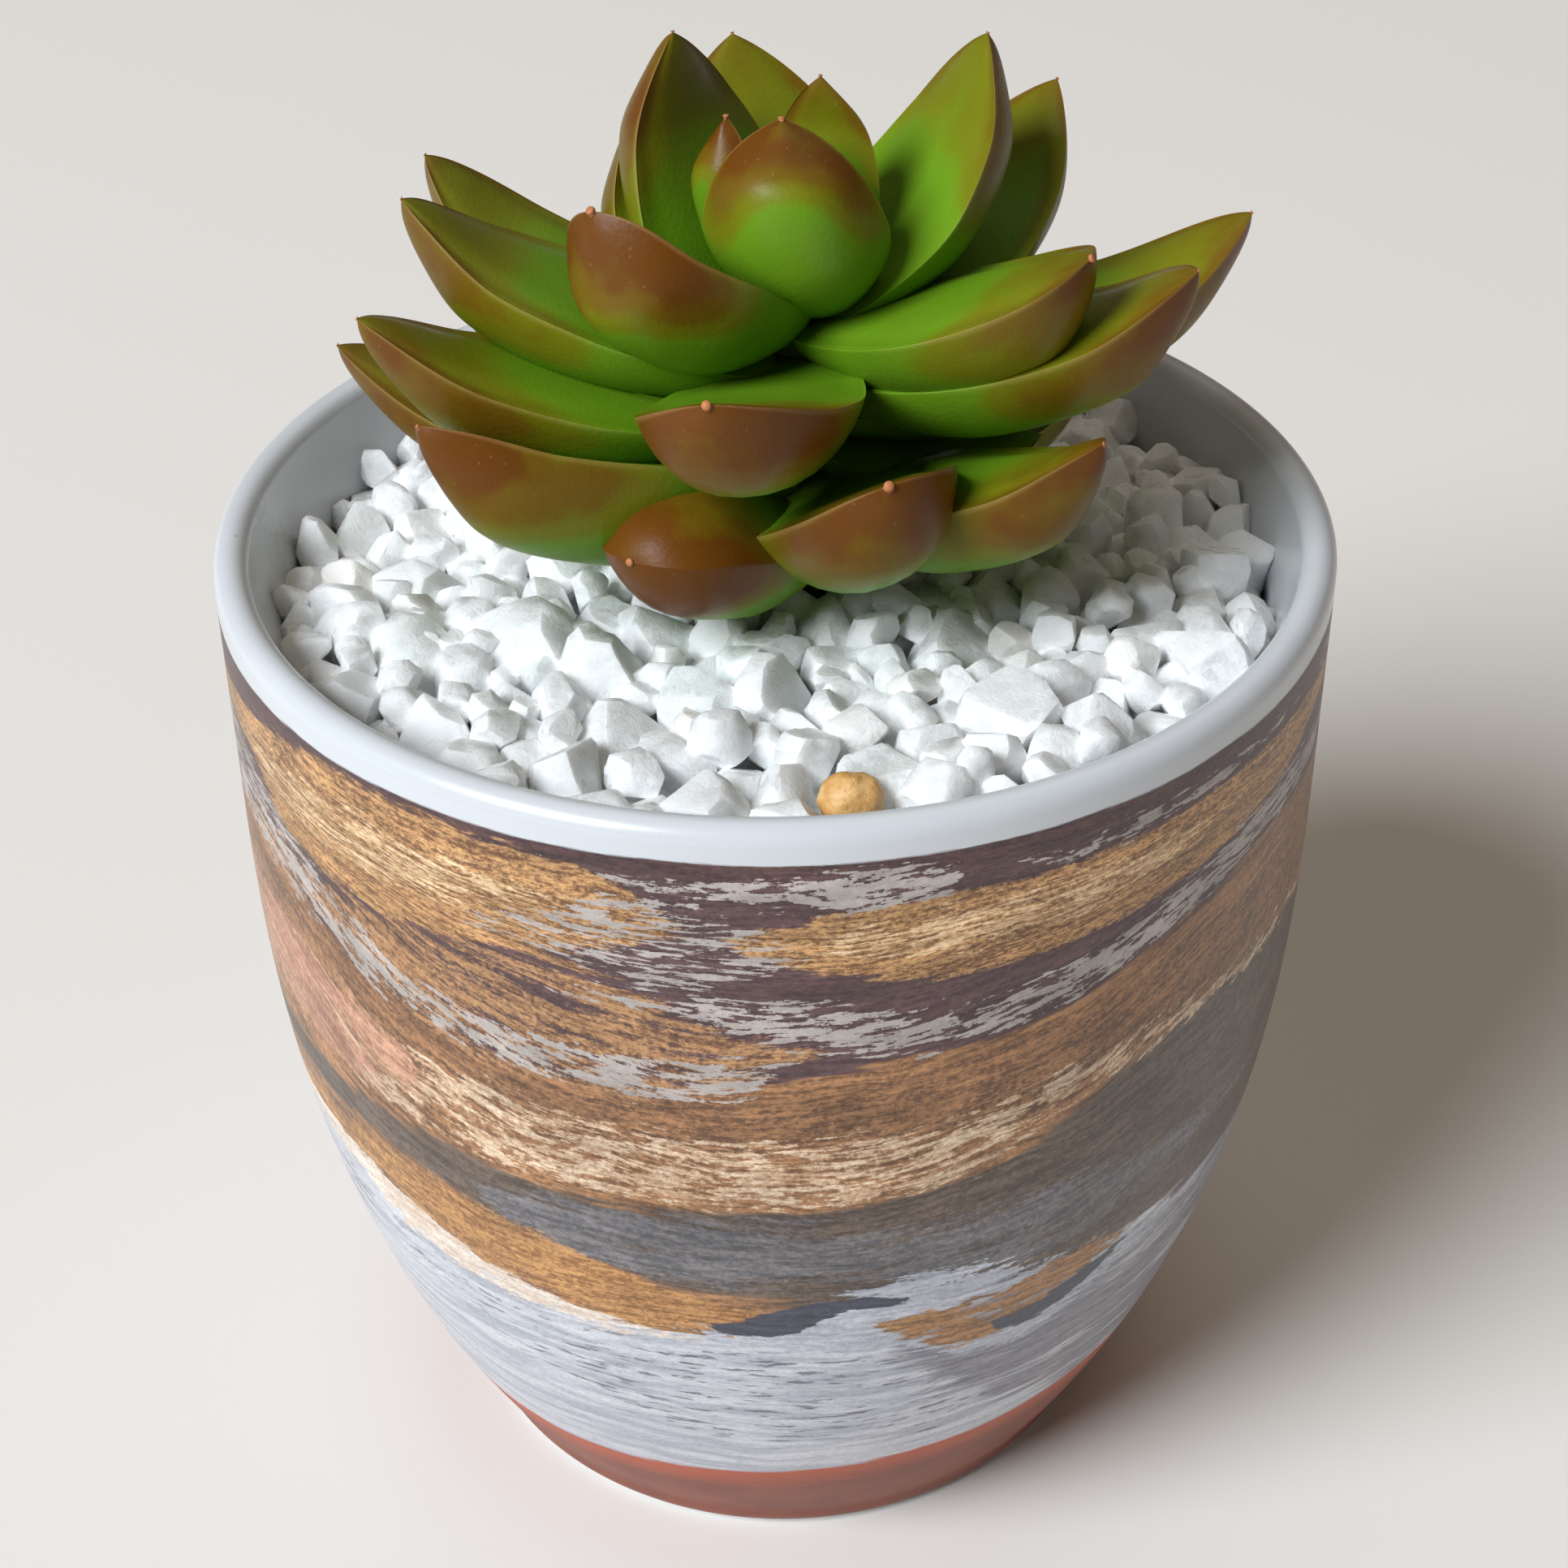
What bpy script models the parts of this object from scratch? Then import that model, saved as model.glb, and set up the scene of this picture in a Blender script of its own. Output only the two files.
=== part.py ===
"""Potted succulent: a rosette of thick leaves on a short stem, in a tumbler-shaped ceramic pot
that is filled with soil and covered with white gravel. Metres, +Z up. The origin is the middle
of the pot's flat bottom, and the front of the pot faces -Y."""

import math
import random
from collections import namedtuple

import bmesh
import bpy
from mathutils import Euler, Vector

MM = 0.001

# Driving dimensions, in millimetres
GAP = 0.3                 # clearance between pieces that touch
MERGE = 0.004             # corners closer than this are made one after a cut
POT_RADIUS = 44.0         # outside of the rim
POT_HEIGHT = 86.5
POT_FOOT_TAPER = 16.2     # how far the foot is drawn in
POT_TAPER_HEIGHT = 66.0   # above this height the outside is straight
POT_TAPER_POWER = 2.4
POT_CORNER = 2.6          # rounding of the foot
POT_FLOOR = 6.0
FLOOR_ROUND = 4.0         # rounding where the inner wall meets the floor
FLOOR_RISE = 0.8          # how far the floor rises towards that rounding
POT_WALL = 4.6
POT_LIP = 2.8             # thickness of the rounded lip
POT_LIP_DEPTH = 5.5       # height over which the lip thickens to the wall
POT_SIDES = 48
SOIL_TOP = 75.0
GRAVEL_TOP = 80.2         # mean height of the stones' upper halves over the pot's axis
GRAVEL_HEAP = -0.06       # rise of the gravel for each millimetre towards +Y
BED_DROP = 1.6            # how far the bed that joins the stones lies below them
STONE_SIZE = 4.2          # mean half-width of one stone
STONE_VARIATION = 0.15    # share by which that width varies
STONE_SINK = (1.0, 2.2)   # how far a stone's middle lies below the gravel's height
STONE_NUDGE = 0.7         # how far a stone may stray from its place on the spiral
STONE_ROOT = 1.0          # the stones run down to this height above the soil
STONE_SPACING = 3.85      # spiral constant that sets the distance between stones
STONE_COUNT = 96
STONE_SEED = 11
OCHRE_PLACE = (5.1, -35.4, 83.1)
OCHRE_SIZE = 2.1
STEM_AXIS = (1.6, -4.0)   # the plant stands a little in front of the pot's axis
STEM_RADIUS = 2.2
STEM_SIDES = 16
STEM_FOOT = 48.0
STEM_TOP = 113.5
LEAF_SEAT = 1.6           # where a leaf's midline starts, from the stem's axis
LEAF_SIDES = 10
LEAF_RINGS = 7
LEAF_CROWN = 0.08         # height of the upper face's middle, as a share of the leaf's depth
LEAF_FOOT_WIDTH = 0.42    # width at the foot, as a share of the greatest width
LEAF_FOOT_DEPTH = 0.36

Leaf = namedtuple(
    "Leaf",
    "azimuth foot length rise curl width depth twist point seat sway",
    defaults=(0.0, 0.78, None, 0.0),
)

# Leaves from the bud outwards. azimuth: heading seen from above, 0 along +X, in degrees.
# foot: height on the stem. rise: slope at half length, and curl: how much the slope grows from
# foot to tip, in degrees. twist: roll about the leaf's own length. point: high for an acute tip.
# seat: azimuth of the foot on the stem where it isn't the heading. sway: sideways lean at the tip.
LEAVES = (
    Leaf(268, 107.0, 14.5, 83, 50, 11.8, 5.5, 0, 0.95, 350, -2.2),
    Leaf(186, 107.0, 14.0, 76, 40, 9.0, 4.0, 0, 0.95),
    Leaf(51, 107.0, 15.5, 84, 30, 10.5, 4.0, 0, 0.95),
    Leaf(106, 105.0, 24.0, 37, 25, 17.0, 5.5, 0, 0.95, 60),
    Leaf(216, 105.5, 20.0, 38, 25, 13.0, 6.0, 20),
    Leaf(28, 105.5, 23.5, 50, 30, 16.0, 6.5, -15, 0.95),
    Leaf(335, 105.0, 23.0, 22, 25, 12.5, 6.0),
    Leaf(148, 104.0, 22.5, 66, 30, 15.0, 6.5, 12, 0.95),
    Leaf(148, 101.5, 21.0, 56, 25, 15.0, 5.5, 0, 0.95),
    Leaf(40, 103.0, 29.0, 28, 38, 14.5, 5.5, 0, 0.95),
    Leaf(182, 102.5, 29.5, 25, 22, 14.5, 6.0, 0, 0.85),
    Leaf(74, 102.0, 24.0, 15, 25, 13.0, 5.5),
    Leaf(345, 101.5, 30.0, 20, 26, 13.0, 6.5),
    Leaf(256, 100.0, 25.0, 24, 35, 14.5, 6.0, 10),
    Leaf(158, 100.0, 31.5, 25, 25, 13.0, 5.5),
    Leaf(104, 99.5, 28.0, 20, 25, 13.5, 5.5),
    Leaf(172, 99.0, 27.0, 23, 25, 13.0, 5.5),
    Leaf(195, 98.5, 32.5, 19, 22, 14.0, 6.0),
    Leaf(15, 98.0, 36.5, 17, 25, 14.0, 6.0),
    Leaf(52, 98.0, 30.0, 15, 25, 13.0, 5.5),
    Leaf(132, 96.5, 29.0, 11, 25, 13.0, 5.5),
    Leaf(5, 95.0, 17.5, -4, 20, 12.0, 5.0),
    Leaf(84, 94.5, 30.0, 12, 25, 13.0, 5.5),
    Leaf(172, 94.0, 34.5, 11, 25, 12.5, 5.5),
    Leaf(208, 92.5, 31.0, 21, 30, 13.5, 6.5, 32),
    Leaf(322, 92.0, 28.0, 23, 25, 13.0, 6.5),
    Leaf(30, 92.0, 27.0, 8, 25, 12.5, 5.5),
    Leaf(280, 91.5, 24.0, 27, 25, 14.0, 7.0, 20, 0.78, 350, 1.0),
    Leaf(112, 91.0, 28.0, 8, 25, 12.5, 5.5),
    Leaf(150, 89.0, 25.0, 6, 22, 12.0, 5.5),
    Leaf(60, 89.4, 22.0, 3, 18, 11.5, 5.5),
    Leaf(232, 87.0, 21.5, 20, -20, 12.5, 7.0, 20, 0.78, 270),
)


def clear_scene():
    for obj in list(bpy.data.objects):
        bpy.data.objects.remove(obj, do_unlink=True)


def material(name, colour, roughness):
    made = bpy.data.materials.new(name)
    made.use_nodes = True
    shader = made.node_tree.nodes["Principled BSDF"]
    shader.inputs["Base Color"].default_value = (*colour, 1.0)
    shader.inputs["Roughness"].default_value = roughness
    shader.inputs["Metallic"].default_value = 0.0
    return made


def object_from(bm, name, finish=None, smooth=True):
    bm.normal_update()
    bmesh.ops.recalc_face_normals(bm, faces=bm.faces)
    mesh = bpy.data.meshes.new(name)
    bm.to_mesh(mesh)
    bm.free()
    if finish:
        mesh.materials.append(finish)
    if smooth:
        mesh.shade_smooth()
        mesh.set_sharp_from_angle(angle=math.radians(40))
    obj = bpy.data.objects.new(name, mesh)
    bpy.context.scene.collection.objects.link(obj)
    return obj


def turned(name, profile, sides, finish=None, centre=(0.0, 0.0)):
    """A solid of revolution from (radius, height) points that start and end on the axis."""
    bm = bmesh.new()
    points = [bm.verts.new((radius * MM, 0.0, height * MM)) for radius, height in profile]
    edges = [bm.edges.new(pair) for pair in zip(points, points[1:])]
    bmesh.ops.spin(
        bm,
        geom=points + edges,
        cent=(0.0, 0.0, 0.0),
        axis=(0.0, 0.0, 1.0),
        angle=math.tau,
        steps=sides,
        use_merge=True,
    )
    bmesh.ops.remove_doubles(bm, verts=bm.verts, dist=1e-6)
    bmesh.ops.translate(bm, verts=bm.verts, vec=(centre[0] * MM, centre[1] * MM, 0.0))
    return object_from(bm, name, finish)


def combine(target, others, operation, solver="EXACT"):
    """Boolean of the target with a collection of objects, which are then removed."""
    group = bpy.data.collections.new("operands")
    bpy.context.scene.collection.children.link(group)
    for other in others:
        bpy.context.scene.collection.objects.unlink(other)
        group.objects.link(other)
    modifier = target.modifiers.new(operation.title(), "BOOLEAN")
    modifier.operation = operation
    modifier.operand_type = "COLLECTION"
    modifier.collection = group
    modifier.solver = solver
    graph = bpy.context.evaluated_depsgraph_get()
    result = bpy.data.meshes.new_from_object(target.evaluated_get(graph), depsgraph=graph)
    target.modifiers.clear()
    old = target.data
    target.data = result
    result.name = target.name
    bpy.data.meshes.remove(old)
    for other in others:
        bpy.data.objects.remove(other, do_unlink=True)
    bpy.data.collections.remove(group)


def keep_largest(obj):
    """Drops the scraps that a cut leaves, also those that hang on by one corner or edge."""
    bm = bmesh.new()
    bm.from_mesh(obj.data)
    bmesh.ops.remove_doubles(bm, verts=bm.verts, dist=MERGE * MM)
    bmesh.ops.dissolve_degenerate(bm, edges=bm.edges, dist=MERGE * MM)
    waiting = set(bm.faces)
    bodies = []
    while waiting:
        front = [waiting.pop()]
        body = list(front)
        while front:
            sides = [edge for edge in front.pop().edges if len(edge.link_faces) == 2]
            reached = {face for edge in sides for face in edge.link_faces} & waiting
            waiting -= reached
            front += reached
            body += reached
        bodies.append(body)
    bodies.sort(key=len)
    scraps = [face for body in bodies[:-1] for face in body]
    bmesh.ops.delete(bm, geom=scraps, context="FACES")
    bm.to_mesh(obj.data)
    bm.free()


def swell(bm, by):
    """Moves a mesh's faces outwards by an even distance, to make a cutter with clearance."""
    bm.normal_update()
    moves = [v.normal * by * MM * min(v.calc_shell_factor(), 2.2) for v in bm.verts]
    for vert, move in zip(bm.verts, moves):
        vert.co += move


def arc(centre, radius, start, end, steps):
    """Points of a circular arc, as (radius, height), between two angles in degrees."""
    return [
        (
            centre[0] + radius * math.cos(math.radians(start + (end - start) * i / steps)),
            centre[1] + radius * math.sin(math.radians(start + (end - start) * i / steps)),
        )
        for i in range(steps + 1)
    ]


def pot_outside(height):
    drawn_in = max(0.0, 1.0 - height / POT_TAPER_HEIGHT)
    return POT_RADIUS - POT_FOOT_TAPER * drawn_in**POT_TAPER_POWER


def pot_inside(height):
    """Inner radius: the wall thins to the lip near the top."""
    lip_start = POT_HEIGHT - POT_LIP / 2 - POT_LIP_DEPTH
    share = min(1.0, max(0.0, (height - lip_start) / POT_LIP_DEPTH))
    ease = share * share * (3.0 - 2.0 * share)
    return pot_outside(height) - POT_WALL + (POT_WALL - POT_LIP) * ease


def inner_profile(bottom, top, steps, inset):
    """A solid that fills the pot between two heights, clear of the wall by the inset."""
    heights = [bottom + (top - bottom) * i / steps for i in range(steps + 1)]
    wall = [(pot_inside(height) - inset, height) for height in heights]
    return [(0.0, bottom), *wall, (0.0, top)]


def build_pot(glaze):
    corner = POT_CORNER
    foot = pot_outside(corner) - corner
    outside = [(0.0, 0.0), *arc((foot, corner), corner, -90, -10, 3)]
    outside += [(pot_outside(z), z) for z in (8, 14, 21, 29, 38, 48, 58, 72)]
    lip = POT_LIP / 2
    rim = arc((POT_RADIUS - lip, POT_HEIGHT - lip), lip, 0, 180, 6)
    lip_foot = POT_HEIGHT - lip - POT_LIP_DEPTH
    inside = [(pot_inside(z), z) for z in (lip_foot + 3.6, lip_foot + 1.8, lip_foot)]
    inside += [(pot_inside(z), z) for z in (64, 48, 34, 22, 12)]
    floor_edge = (pot_inside(POT_FLOOR) - FLOOR_ROUND, POT_FLOOR + FLOOR_RISE)
    inside += [floor_edge, (0.0, POT_FLOOR)]
    return turned("pot", outside + rim + inside, POT_SIDES, glaze)


def stem_profile(grow):
    """Buried root end, straight stem and growing tip, as (radius, height)."""
    points = [
        (0.5, STEM_FOOT),
        (1.2, STEM_FOOT + 5.0),
        (STEM_RADIUS, STEM_FOOT + 18.0),
        (STEM_RADIUS, STEM_TOP - 8.0),
        (0.8 * STEM_RADIUS, STEM_TOP - 4.0),
        (0.4 * STEM_RADIUS, STEM_TOP - 1.2),
    ]
    sides = [(radius + grow, height) for radius, height in points]
    return [(0.0, STEM_FOOT - grow), *sides, (0.0, STEM_TOP + grow)]


def stem_cutter():
    return turned("stem_cutter", stem_profile(GAP), STEM_SIDES, centre=STEM_AXIS)


def build_stem(bark):
    return turned("stem", stem_profile(0.0), STEM_SIDES, bark, STEM_AXIS)


def build_soil(earth):
    profile = inner_profile(POT_FLOOR + FLOOR_RISE + GAP, SOIL_TOP, 5, GAP)
    radius, height = profile[1]
    profile[1] = (radius - FLOOR_ROUND - 2 * GAP, height)
    soil = turned("soil", profile, POT_SIDES, earth)
    combine(soil, [stem_cutter()], "DIFFERENCE")
    return soil


def stone_mesh(size, place, draw, subdivisions):
    """One chipped stone: an icosphere with its corners shifted, turned at random."""
    bm = bmesh.new()
    bmesh.ops.create_icosphere(bm, subdivisions=subdivisions, radius=1.0)
    stretch = Vector([draw.uniform(0.85, 1.2) for _ in range(3)])
    turn = Euler([draw.uniform(0.0, math.tau) for _ in range(3)]).to_matrix()
    for vert in bm.verts:
        chipped = vert.co * draw.uniform(0.88, 1.12)
        vert.co = turn @ (chipped * stretch) * size * MM + Vector(place) * MM
    return bm


def rooted_stone(name, size, place, draw):
    """A stone whose lower half runs straight down into the bed, so that it seals no hollow."""
    chipped = stone_mesh(size, place, draw, 1)
    root = (SOIL_TOP + GAP + STONE_ROOT) * MM
    crown = [(vert.co.x, vert.co.y, max(vert.co.z, place[2] * MM)) for vert in chipped.verts]
    chipped.free()
    bm = bmesh.new()
    for x, y, z in crown:
        bm.verts.new((x, y, z))
        bm.verts.new((x, y, root))
    bmesh.ops.convex_hull(bm, input=bm.verts)
    inner = [vert for vert in bm.verts if not vert.link_faces]
    bmesh.ops.delete(bm, geom=inner, context="VERTS")
    return object_from(bm, name, smooth=False)


def scatter_stones(draw):
    """Stones on a sunflower spiral, which covers the disc evenly, each nudged at random."""
    stones = []
    golden = math.pi * (3.0 - math.sqrt(5.0))
    for i in range(STONE_COUNT):
        radius = STONE_SPACING * math.sqrt(i + 0.5)
        angle = i * golden
        x = radius * math.cos(angle) + draw.uniform(-STONE_NUDGE, STONE_NUDGE)
        y = radius * math.sin(angle) + draw.uniform(-STONE_NUDGE, STONE_NUDGE)
        size = STONE_SIZE * draw.uniform(1.0 - STONE_VARIATION, 1.0 + STONE_VARIATION)
        height = GRAVEL_TOP + GRAVEL_HEAP * y - draw.uniform(*STONE_SINK)
        stones.append(rooted_stone(f"stone_{i}", size, (x, y, height), draw))
    return stones


def ochre_mesh():
    return stone_mesh(OCHRE_SIZE, OCHRE_PLACE, random.Random(STONE_SEED + 1), 2)


def build_ochre_stone(finish):
    return object_from(ochre_mesh(), "ochre_stone", finish, smooth=False)


def ochre_cutter():
    bm = ochre_mesh()
    swell(bm, GAP)
    return object_from(bm, "ochre_cutter", smooth=False)


def build_gravel(marble):
    bottom = SOIL_TOP + GAP
    top = GRAVEL_TOP - BED_DROP
    bed = turned("gravel", inner_profile(bottom, top, 2, GAP), POT_SIDES, marble)
    for vert in bed.data.vertices:
        share = (vert.co.z / MM - bottom) / (top - bottom)
        vert.co.z += GRAVEL_HEAP * vert.co.y * share
    combine(bed, scatter_stones(random.Random(STONE_SEED)), "UNION", "MANIFOLD")
    envelope = turned("envelope", inner_profile(bottom, POT_HEIGHT - 2.0, 8, GAP), POT_SIDES)
    combine(bed, [envelope], "INTERSECT", "MANIFOLD")
    combine(bed, [stem_cutter(), ochre_cutter()], "DIFFERENCE", "MANIFOLD")
    keep_largest(bed)
    return bed


def leaf_width(leaf, along):
    """Half-width: widens from the foot to mid length, then closes to the tip."""
    opening = math.sin(math.pi / 2 * min(1.0, along / 0.5))
    share = LEAF_FOOT_WIDTH + (1.0 - LEAF_FOOT_WIDTH) * opening
    return leaf.width / 2 * share * (1.0 - along**3.4) ** leaf.point / 0.9


def leaf_depth(leaf, along):
    """Depth of the keel under the margins, blunt like a boat's bow at the tip."""
    opening = math.sin(math.pi / 2 * min(1.0, along / 0.45))
    share = LEAF_FOOT_DEPTH + (1.0 - LEAF_FOOT_DEPTH) * opening
    return leaf.depth * share * (1.0 - along**3.2) ** 0.68 / 0.93


def leaf_frame(leaf, along):
    """Point on the leaf's midline, and the sideways and upward directions there."""
    heading = math.radians(leaf.azimuth)
    curl = math.radians(leaf.curl)
    start = math.radians(leaf.rise) - curl / 2
    slope = start + curl * along
    reach = leaf.length * (math.sin(slope) - math.sin(start)) / curl
    climb = leaf.length * (math.cos(start) - math.cos(slope)) / curl
    seat = heading if leaf.seat is None else math.radians(leaf.seat)
    outward = Vector((math.cos(heading), math.sin(heading), 0.0))
    side = Vector((-math.sin(heading), math.cos(heading), 0.0))
    up = Vector((0.0, 0.0, 1.0))
    foot = Vector((STEM_AXIS[0], STEM_AXIS[1], leaf.foot))
    foot += LEAF_SEAT * Vector((math.cos(seat), math.sin(seat), 0.0))
    point = foot + outward * reach + up * climb + side * leaf.sway * along
    normal = up * math.cos(slope) - outward * math.sin(slope)
    twist = math.radians(leaf.twist)
    across = side * math.cos(twist) + normal * math.sin(twist)
    upward = normal * math.cos(twist) - side * math.sin(twist)
    return point, across, upward


def leaf_section(angle):
    """(across, up) of a keeled section: a low crown above, a deep round belly below."""
    across = math.cos(angle)
    if math.sin(angle) >= 0.0:
        return across, LEAF_CROWN * (1.0 - across**2)
    return across, -(1.0 - LEAF_CROWN) * max(0.0, 1.0 - abs(across) ** 2.3) ** 0.75


def leaf_mesh(leaf):
    bm = bmesh.new()
    rings = []
    for i in range(LEAF_RINGS):
        along = 1.0 - (1.0 - i / LEAF_RINGS) ** 1.35
        point, across, upward = leaf_frame(leaf, along)
        half = leaf_width(leaf, along)
        depth = leaf_depth(leaf, along)
        ring = []
        for j in range(LEAF_SIDES):
            s, up = leaf_section(math.tau * j / LEAF_SIDES)
            ring.append(bm.verts.new((point + across * half * s + upward * depth * up) * MM))
        rings.append(ring)
    bm.faces.new(rings[0])
    for low, high in zip(rings, rings[1:]):
        for j in range(LEAF_SIDES):
            k = (j + 1) % LEAF_SIDES
            bm.faces.new((low[j], low[k], high[k], high[j]))
    tip = bm.verts.new(leaf_frame(leaf, 1.0)[0] * MM)
    for j in range(LEAF_SIDES):
        bm.faces.new((rings[-1][j], rings[-1][(j + 1) % LEAF_SIDES], tip))
    bmesh.ops.triangulate(bm, faces=bm.faces)
    bmesh.ops.recalc_face_normals(bm, faces=bm.faces)
    return bm


def leaf_cutter(leaf):
    bm = leaf_mesh(leaf)
    swell(bm, GAP)
    return object_from(bm, "leaf_cutter", smooth=False)


def near(first, second, margin):
    """Whether two objects' boxes come within the margin of each other."""
    for axis in range(3):
        a = [vert.co[axis] for vert in first.data.vertices]
        b = [vert.co[axis] for vert in second.data.vertices]
        if min(a) > max(b) + margin or min(b) > max(a) + margin:
            return False
    return True


def build_leaves(flesh):
    """Each leaf gives way to the leaves above it, so that the stack lies snug with a gap."""
    leaves = []
    for i, shape in enumerate(LEAVES):
        leaf = object_from(leaf_mesh(shape), f"leaf_{i + 1:02d}", flesh)
        above = [up for up, whole in zip(LEAVES, leaves) if near(leaf, whole, GAP * MM)]
        cutters = [stem_cutter(), *[leaf_cutter(up) for up in above]]
        combine(leaf, cutters, "DIFFERENCE")
        keep_largest(leaf)
        leaves.append(leaf)
    return leaves


def main():
    clear_scene()
    glaze = material("glazed_ceramic", (0.42, 0.27, 0.16), 0.35)
    earth = material("soil", (0.045, 0.03, 0.02), 0.95)
    marble = material("white_marble_gravel", (0.85, 0.86, 0.86), 0.55)
    ochre = material("ochre_pebble", (0.72, 0.45, 0.16), 0.5)
    bark = material("stem_green", (0.12, 0.17, 0.05), 0.6)
    flesh = material("leaf_flesh", (0.22, 0.38, 0.06), 0.35)
    build_pot(glaze)
    build_soil(earth)
    build_ochre_stone(ochre)
    build_gravel(marble)
    build_stem(bark)
    build_leaves(flesh)


main()
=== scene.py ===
"""Looks of the potted succulent: a glazed pot with a brushed pattern, white marble gravel, a
short stem and a rosette of thick leaves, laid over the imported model. Lengths in the tables are
millimetres, and a bearing is in degrees round the pot, 0 at its front (-Y) and growing to +X."""

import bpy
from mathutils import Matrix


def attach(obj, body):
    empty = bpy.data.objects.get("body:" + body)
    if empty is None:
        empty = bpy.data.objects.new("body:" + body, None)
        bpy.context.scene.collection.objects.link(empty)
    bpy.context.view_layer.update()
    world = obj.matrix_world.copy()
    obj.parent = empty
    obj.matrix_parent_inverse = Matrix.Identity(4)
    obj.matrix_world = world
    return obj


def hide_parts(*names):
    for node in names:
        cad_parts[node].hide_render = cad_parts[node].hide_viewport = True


bl_info = {
    "name": "Potted Succulent",
    "version": (1, 0, 0),
    "blender": (4, 5, 0),
    "location": "View3D > Sidebar > Succulent",
    "description": "Builds the looks of a potted succulent piece by piece",
    "category": "Object",
}

import math
from collections import namedtuple

import bpy
import numpy as np
from bpy.props import FloatProperty, FloatVectorProperty, IntProperty, PointerProperty
from mathutils import Euler, Matrix, Vector

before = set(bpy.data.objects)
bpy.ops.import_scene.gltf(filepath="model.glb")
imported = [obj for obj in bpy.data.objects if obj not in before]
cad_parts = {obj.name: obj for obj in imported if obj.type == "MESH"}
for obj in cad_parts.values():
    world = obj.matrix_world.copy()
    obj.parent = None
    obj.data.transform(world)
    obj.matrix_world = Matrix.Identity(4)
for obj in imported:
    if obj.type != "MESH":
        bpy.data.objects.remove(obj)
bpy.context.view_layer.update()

MM = 0.001


def srgb(red, green, blue):
    """A colour as it is read off a screen, 0 to 255, turned into the linear values of a shader."""
    linear = []
    for value in (red / 255, green / 255, blue / 255):
        low = value / 12.92
        high = ((value + 0.055) / 1.055) ** 2.4
        linear.append(low if value <= 0.04045 else high)
    return tuple(linear)


# The pot, as turned on the wheel
FOOT_TAPER = 16.2
TAPER_HEIGHT = 66.0
TAPER_POWER = 2.4
FOOT_CORNER = 2.6
BASE_INSET = 6.0          # the round face that the pot is raised from is this much smaller
FLOOR_LEVEL = 6.0
FLOOR_CORNER = 4.0
WALL = 4.6
LIP = 2.8
LIP_DEPTH = 5.5
SKIN = 1.0                # a face this close to the outer side belongs to it
UNDERSIDE = 0.1           # and so does a face under this height
POT_SMOOTH = 50           # edges up to this angle are shaded smooth
GLAZE_EDGE = 83.7         # the pattern stops here, under the white rim

# A marble chip, broken from a ball. Its lengths are shares of its radius.
CHIP_KINDS = 8
CHIP_BALL = 1.12
CHIP_ROUGHNESS = 0.15
CHIP_BREAKS = 7
BREAK_DEPTH = (0.66, 0.9)
CHIP_MERGE = 0.12         # corners closer than this become one
CHIP_STRETCH = ((1.0, 1.25), (0.8, 1.0), (0.72, 0.92))
CHIP_SMOOTH = 46
CHIP_SWELL = 1.1          # a chip is drawn this much larger than the ball that is poured for it

# The bed
SOIL_TOP = 75.0
SOIL_REST = 0.8           # how high a stone's middle lies over the soil, as a share of its radius
STEM_REACH = 3.4          # stones keep their middles this far off the stem's axis
STEM_GAP = 0.6            # and this share of their radius farther
WALL_FLARE = 0.7          # the wall is this much thinner where the stones lie
STONE_LIMITS = (0.58, 1.5)
NESTING = 0.84            # how close two stones settle, as a share of their radii together
SMALL_FROM = 0.8          # the last throws, from this share on, are of small chips
SMALL_CHIP = 0.62
ROLLS = (1.8, 1.8, 1.0, 1.0, 0.6, 0.6, 0.3, 0.3)
ROLL_TRIES = 5
UNEVEN = (-0.4, 0.9)      # how far the surface may lie below or above its plane
SUNK = 0.85               # share of a stone's radius that has to fit in under the surface
OCHRE_PLACE = (5.1, -35.4, 83.1)
OCHRE_SIZE = 2.1
OCHRE_STRETCH = (1.12, 0.9, 0.94)
OCHRE_LUMPS = 0.07

# The stem
STEM_AXIS = (1.6, -4.0)
STEM_HEIGHTS = (48.0, 53.0, 66.0, 105.5, 109.5, 112.3, 113.4)
STEM_RADII = (0.5, 1.2, 2.1, 2.1, 1.7, 0.85, 0.2)
STEM_SIDES = 28
SCAR_SPACING = 2.3
SCAR_SWELLING = 0.04

# Every leaf. Lengths are millimetres, and the rest are shares of its own length, width or depth.
LEAF_SEAT = 1.6           # the foot lies this far off the stem's axis
WIDEST = 0.5              # share of its length at which a leaf is widest
DEEPEST = 0.45            # and at which it is deepest
ROOT_DEPTH = 0.42         # depth at the foot, as a share of the whole depth
BELLY = 0.92              # how deep the underside is
CHIN = 0.34               # how far the underside bulges out past the tip
GROOVE_DEPTH = 0.03       # a shallow groove runs along inside each margin
GROOVE_PLACE = 0.80
GROOVE_WIDTH = 0.13
MARGIN_WIDTH = 0.012      # the fine raised line of the margin
MARGIN_RISE = 0.05
MARGIN_REACH = 0.03
WAVES = 0.07              # how far the skin is uneven
BEAD_SET = 0.1            # the middle of the bead lies this far past the blade
BEAD_RINGS = (0.0, 0.02, 0.04, 0.06, 0.08, 0.095)     # the bar's rings past the blade

# The floor, and the photograph's view from the front and about 35 degrees above, in metres
CAMERA_PLACE = (0.0, -0.1967, 0.1969)
CAMERA_TURN = (55.115, 0.492, -0.488)       # degrees about X, Y and Z
SENSOR_WIDTH = 36.0       # millimetres
FLOOR_WIDTH = 4.0

TONE_BLUR = 0.17          # half the range over which a paint turns from its dark to its light

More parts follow.
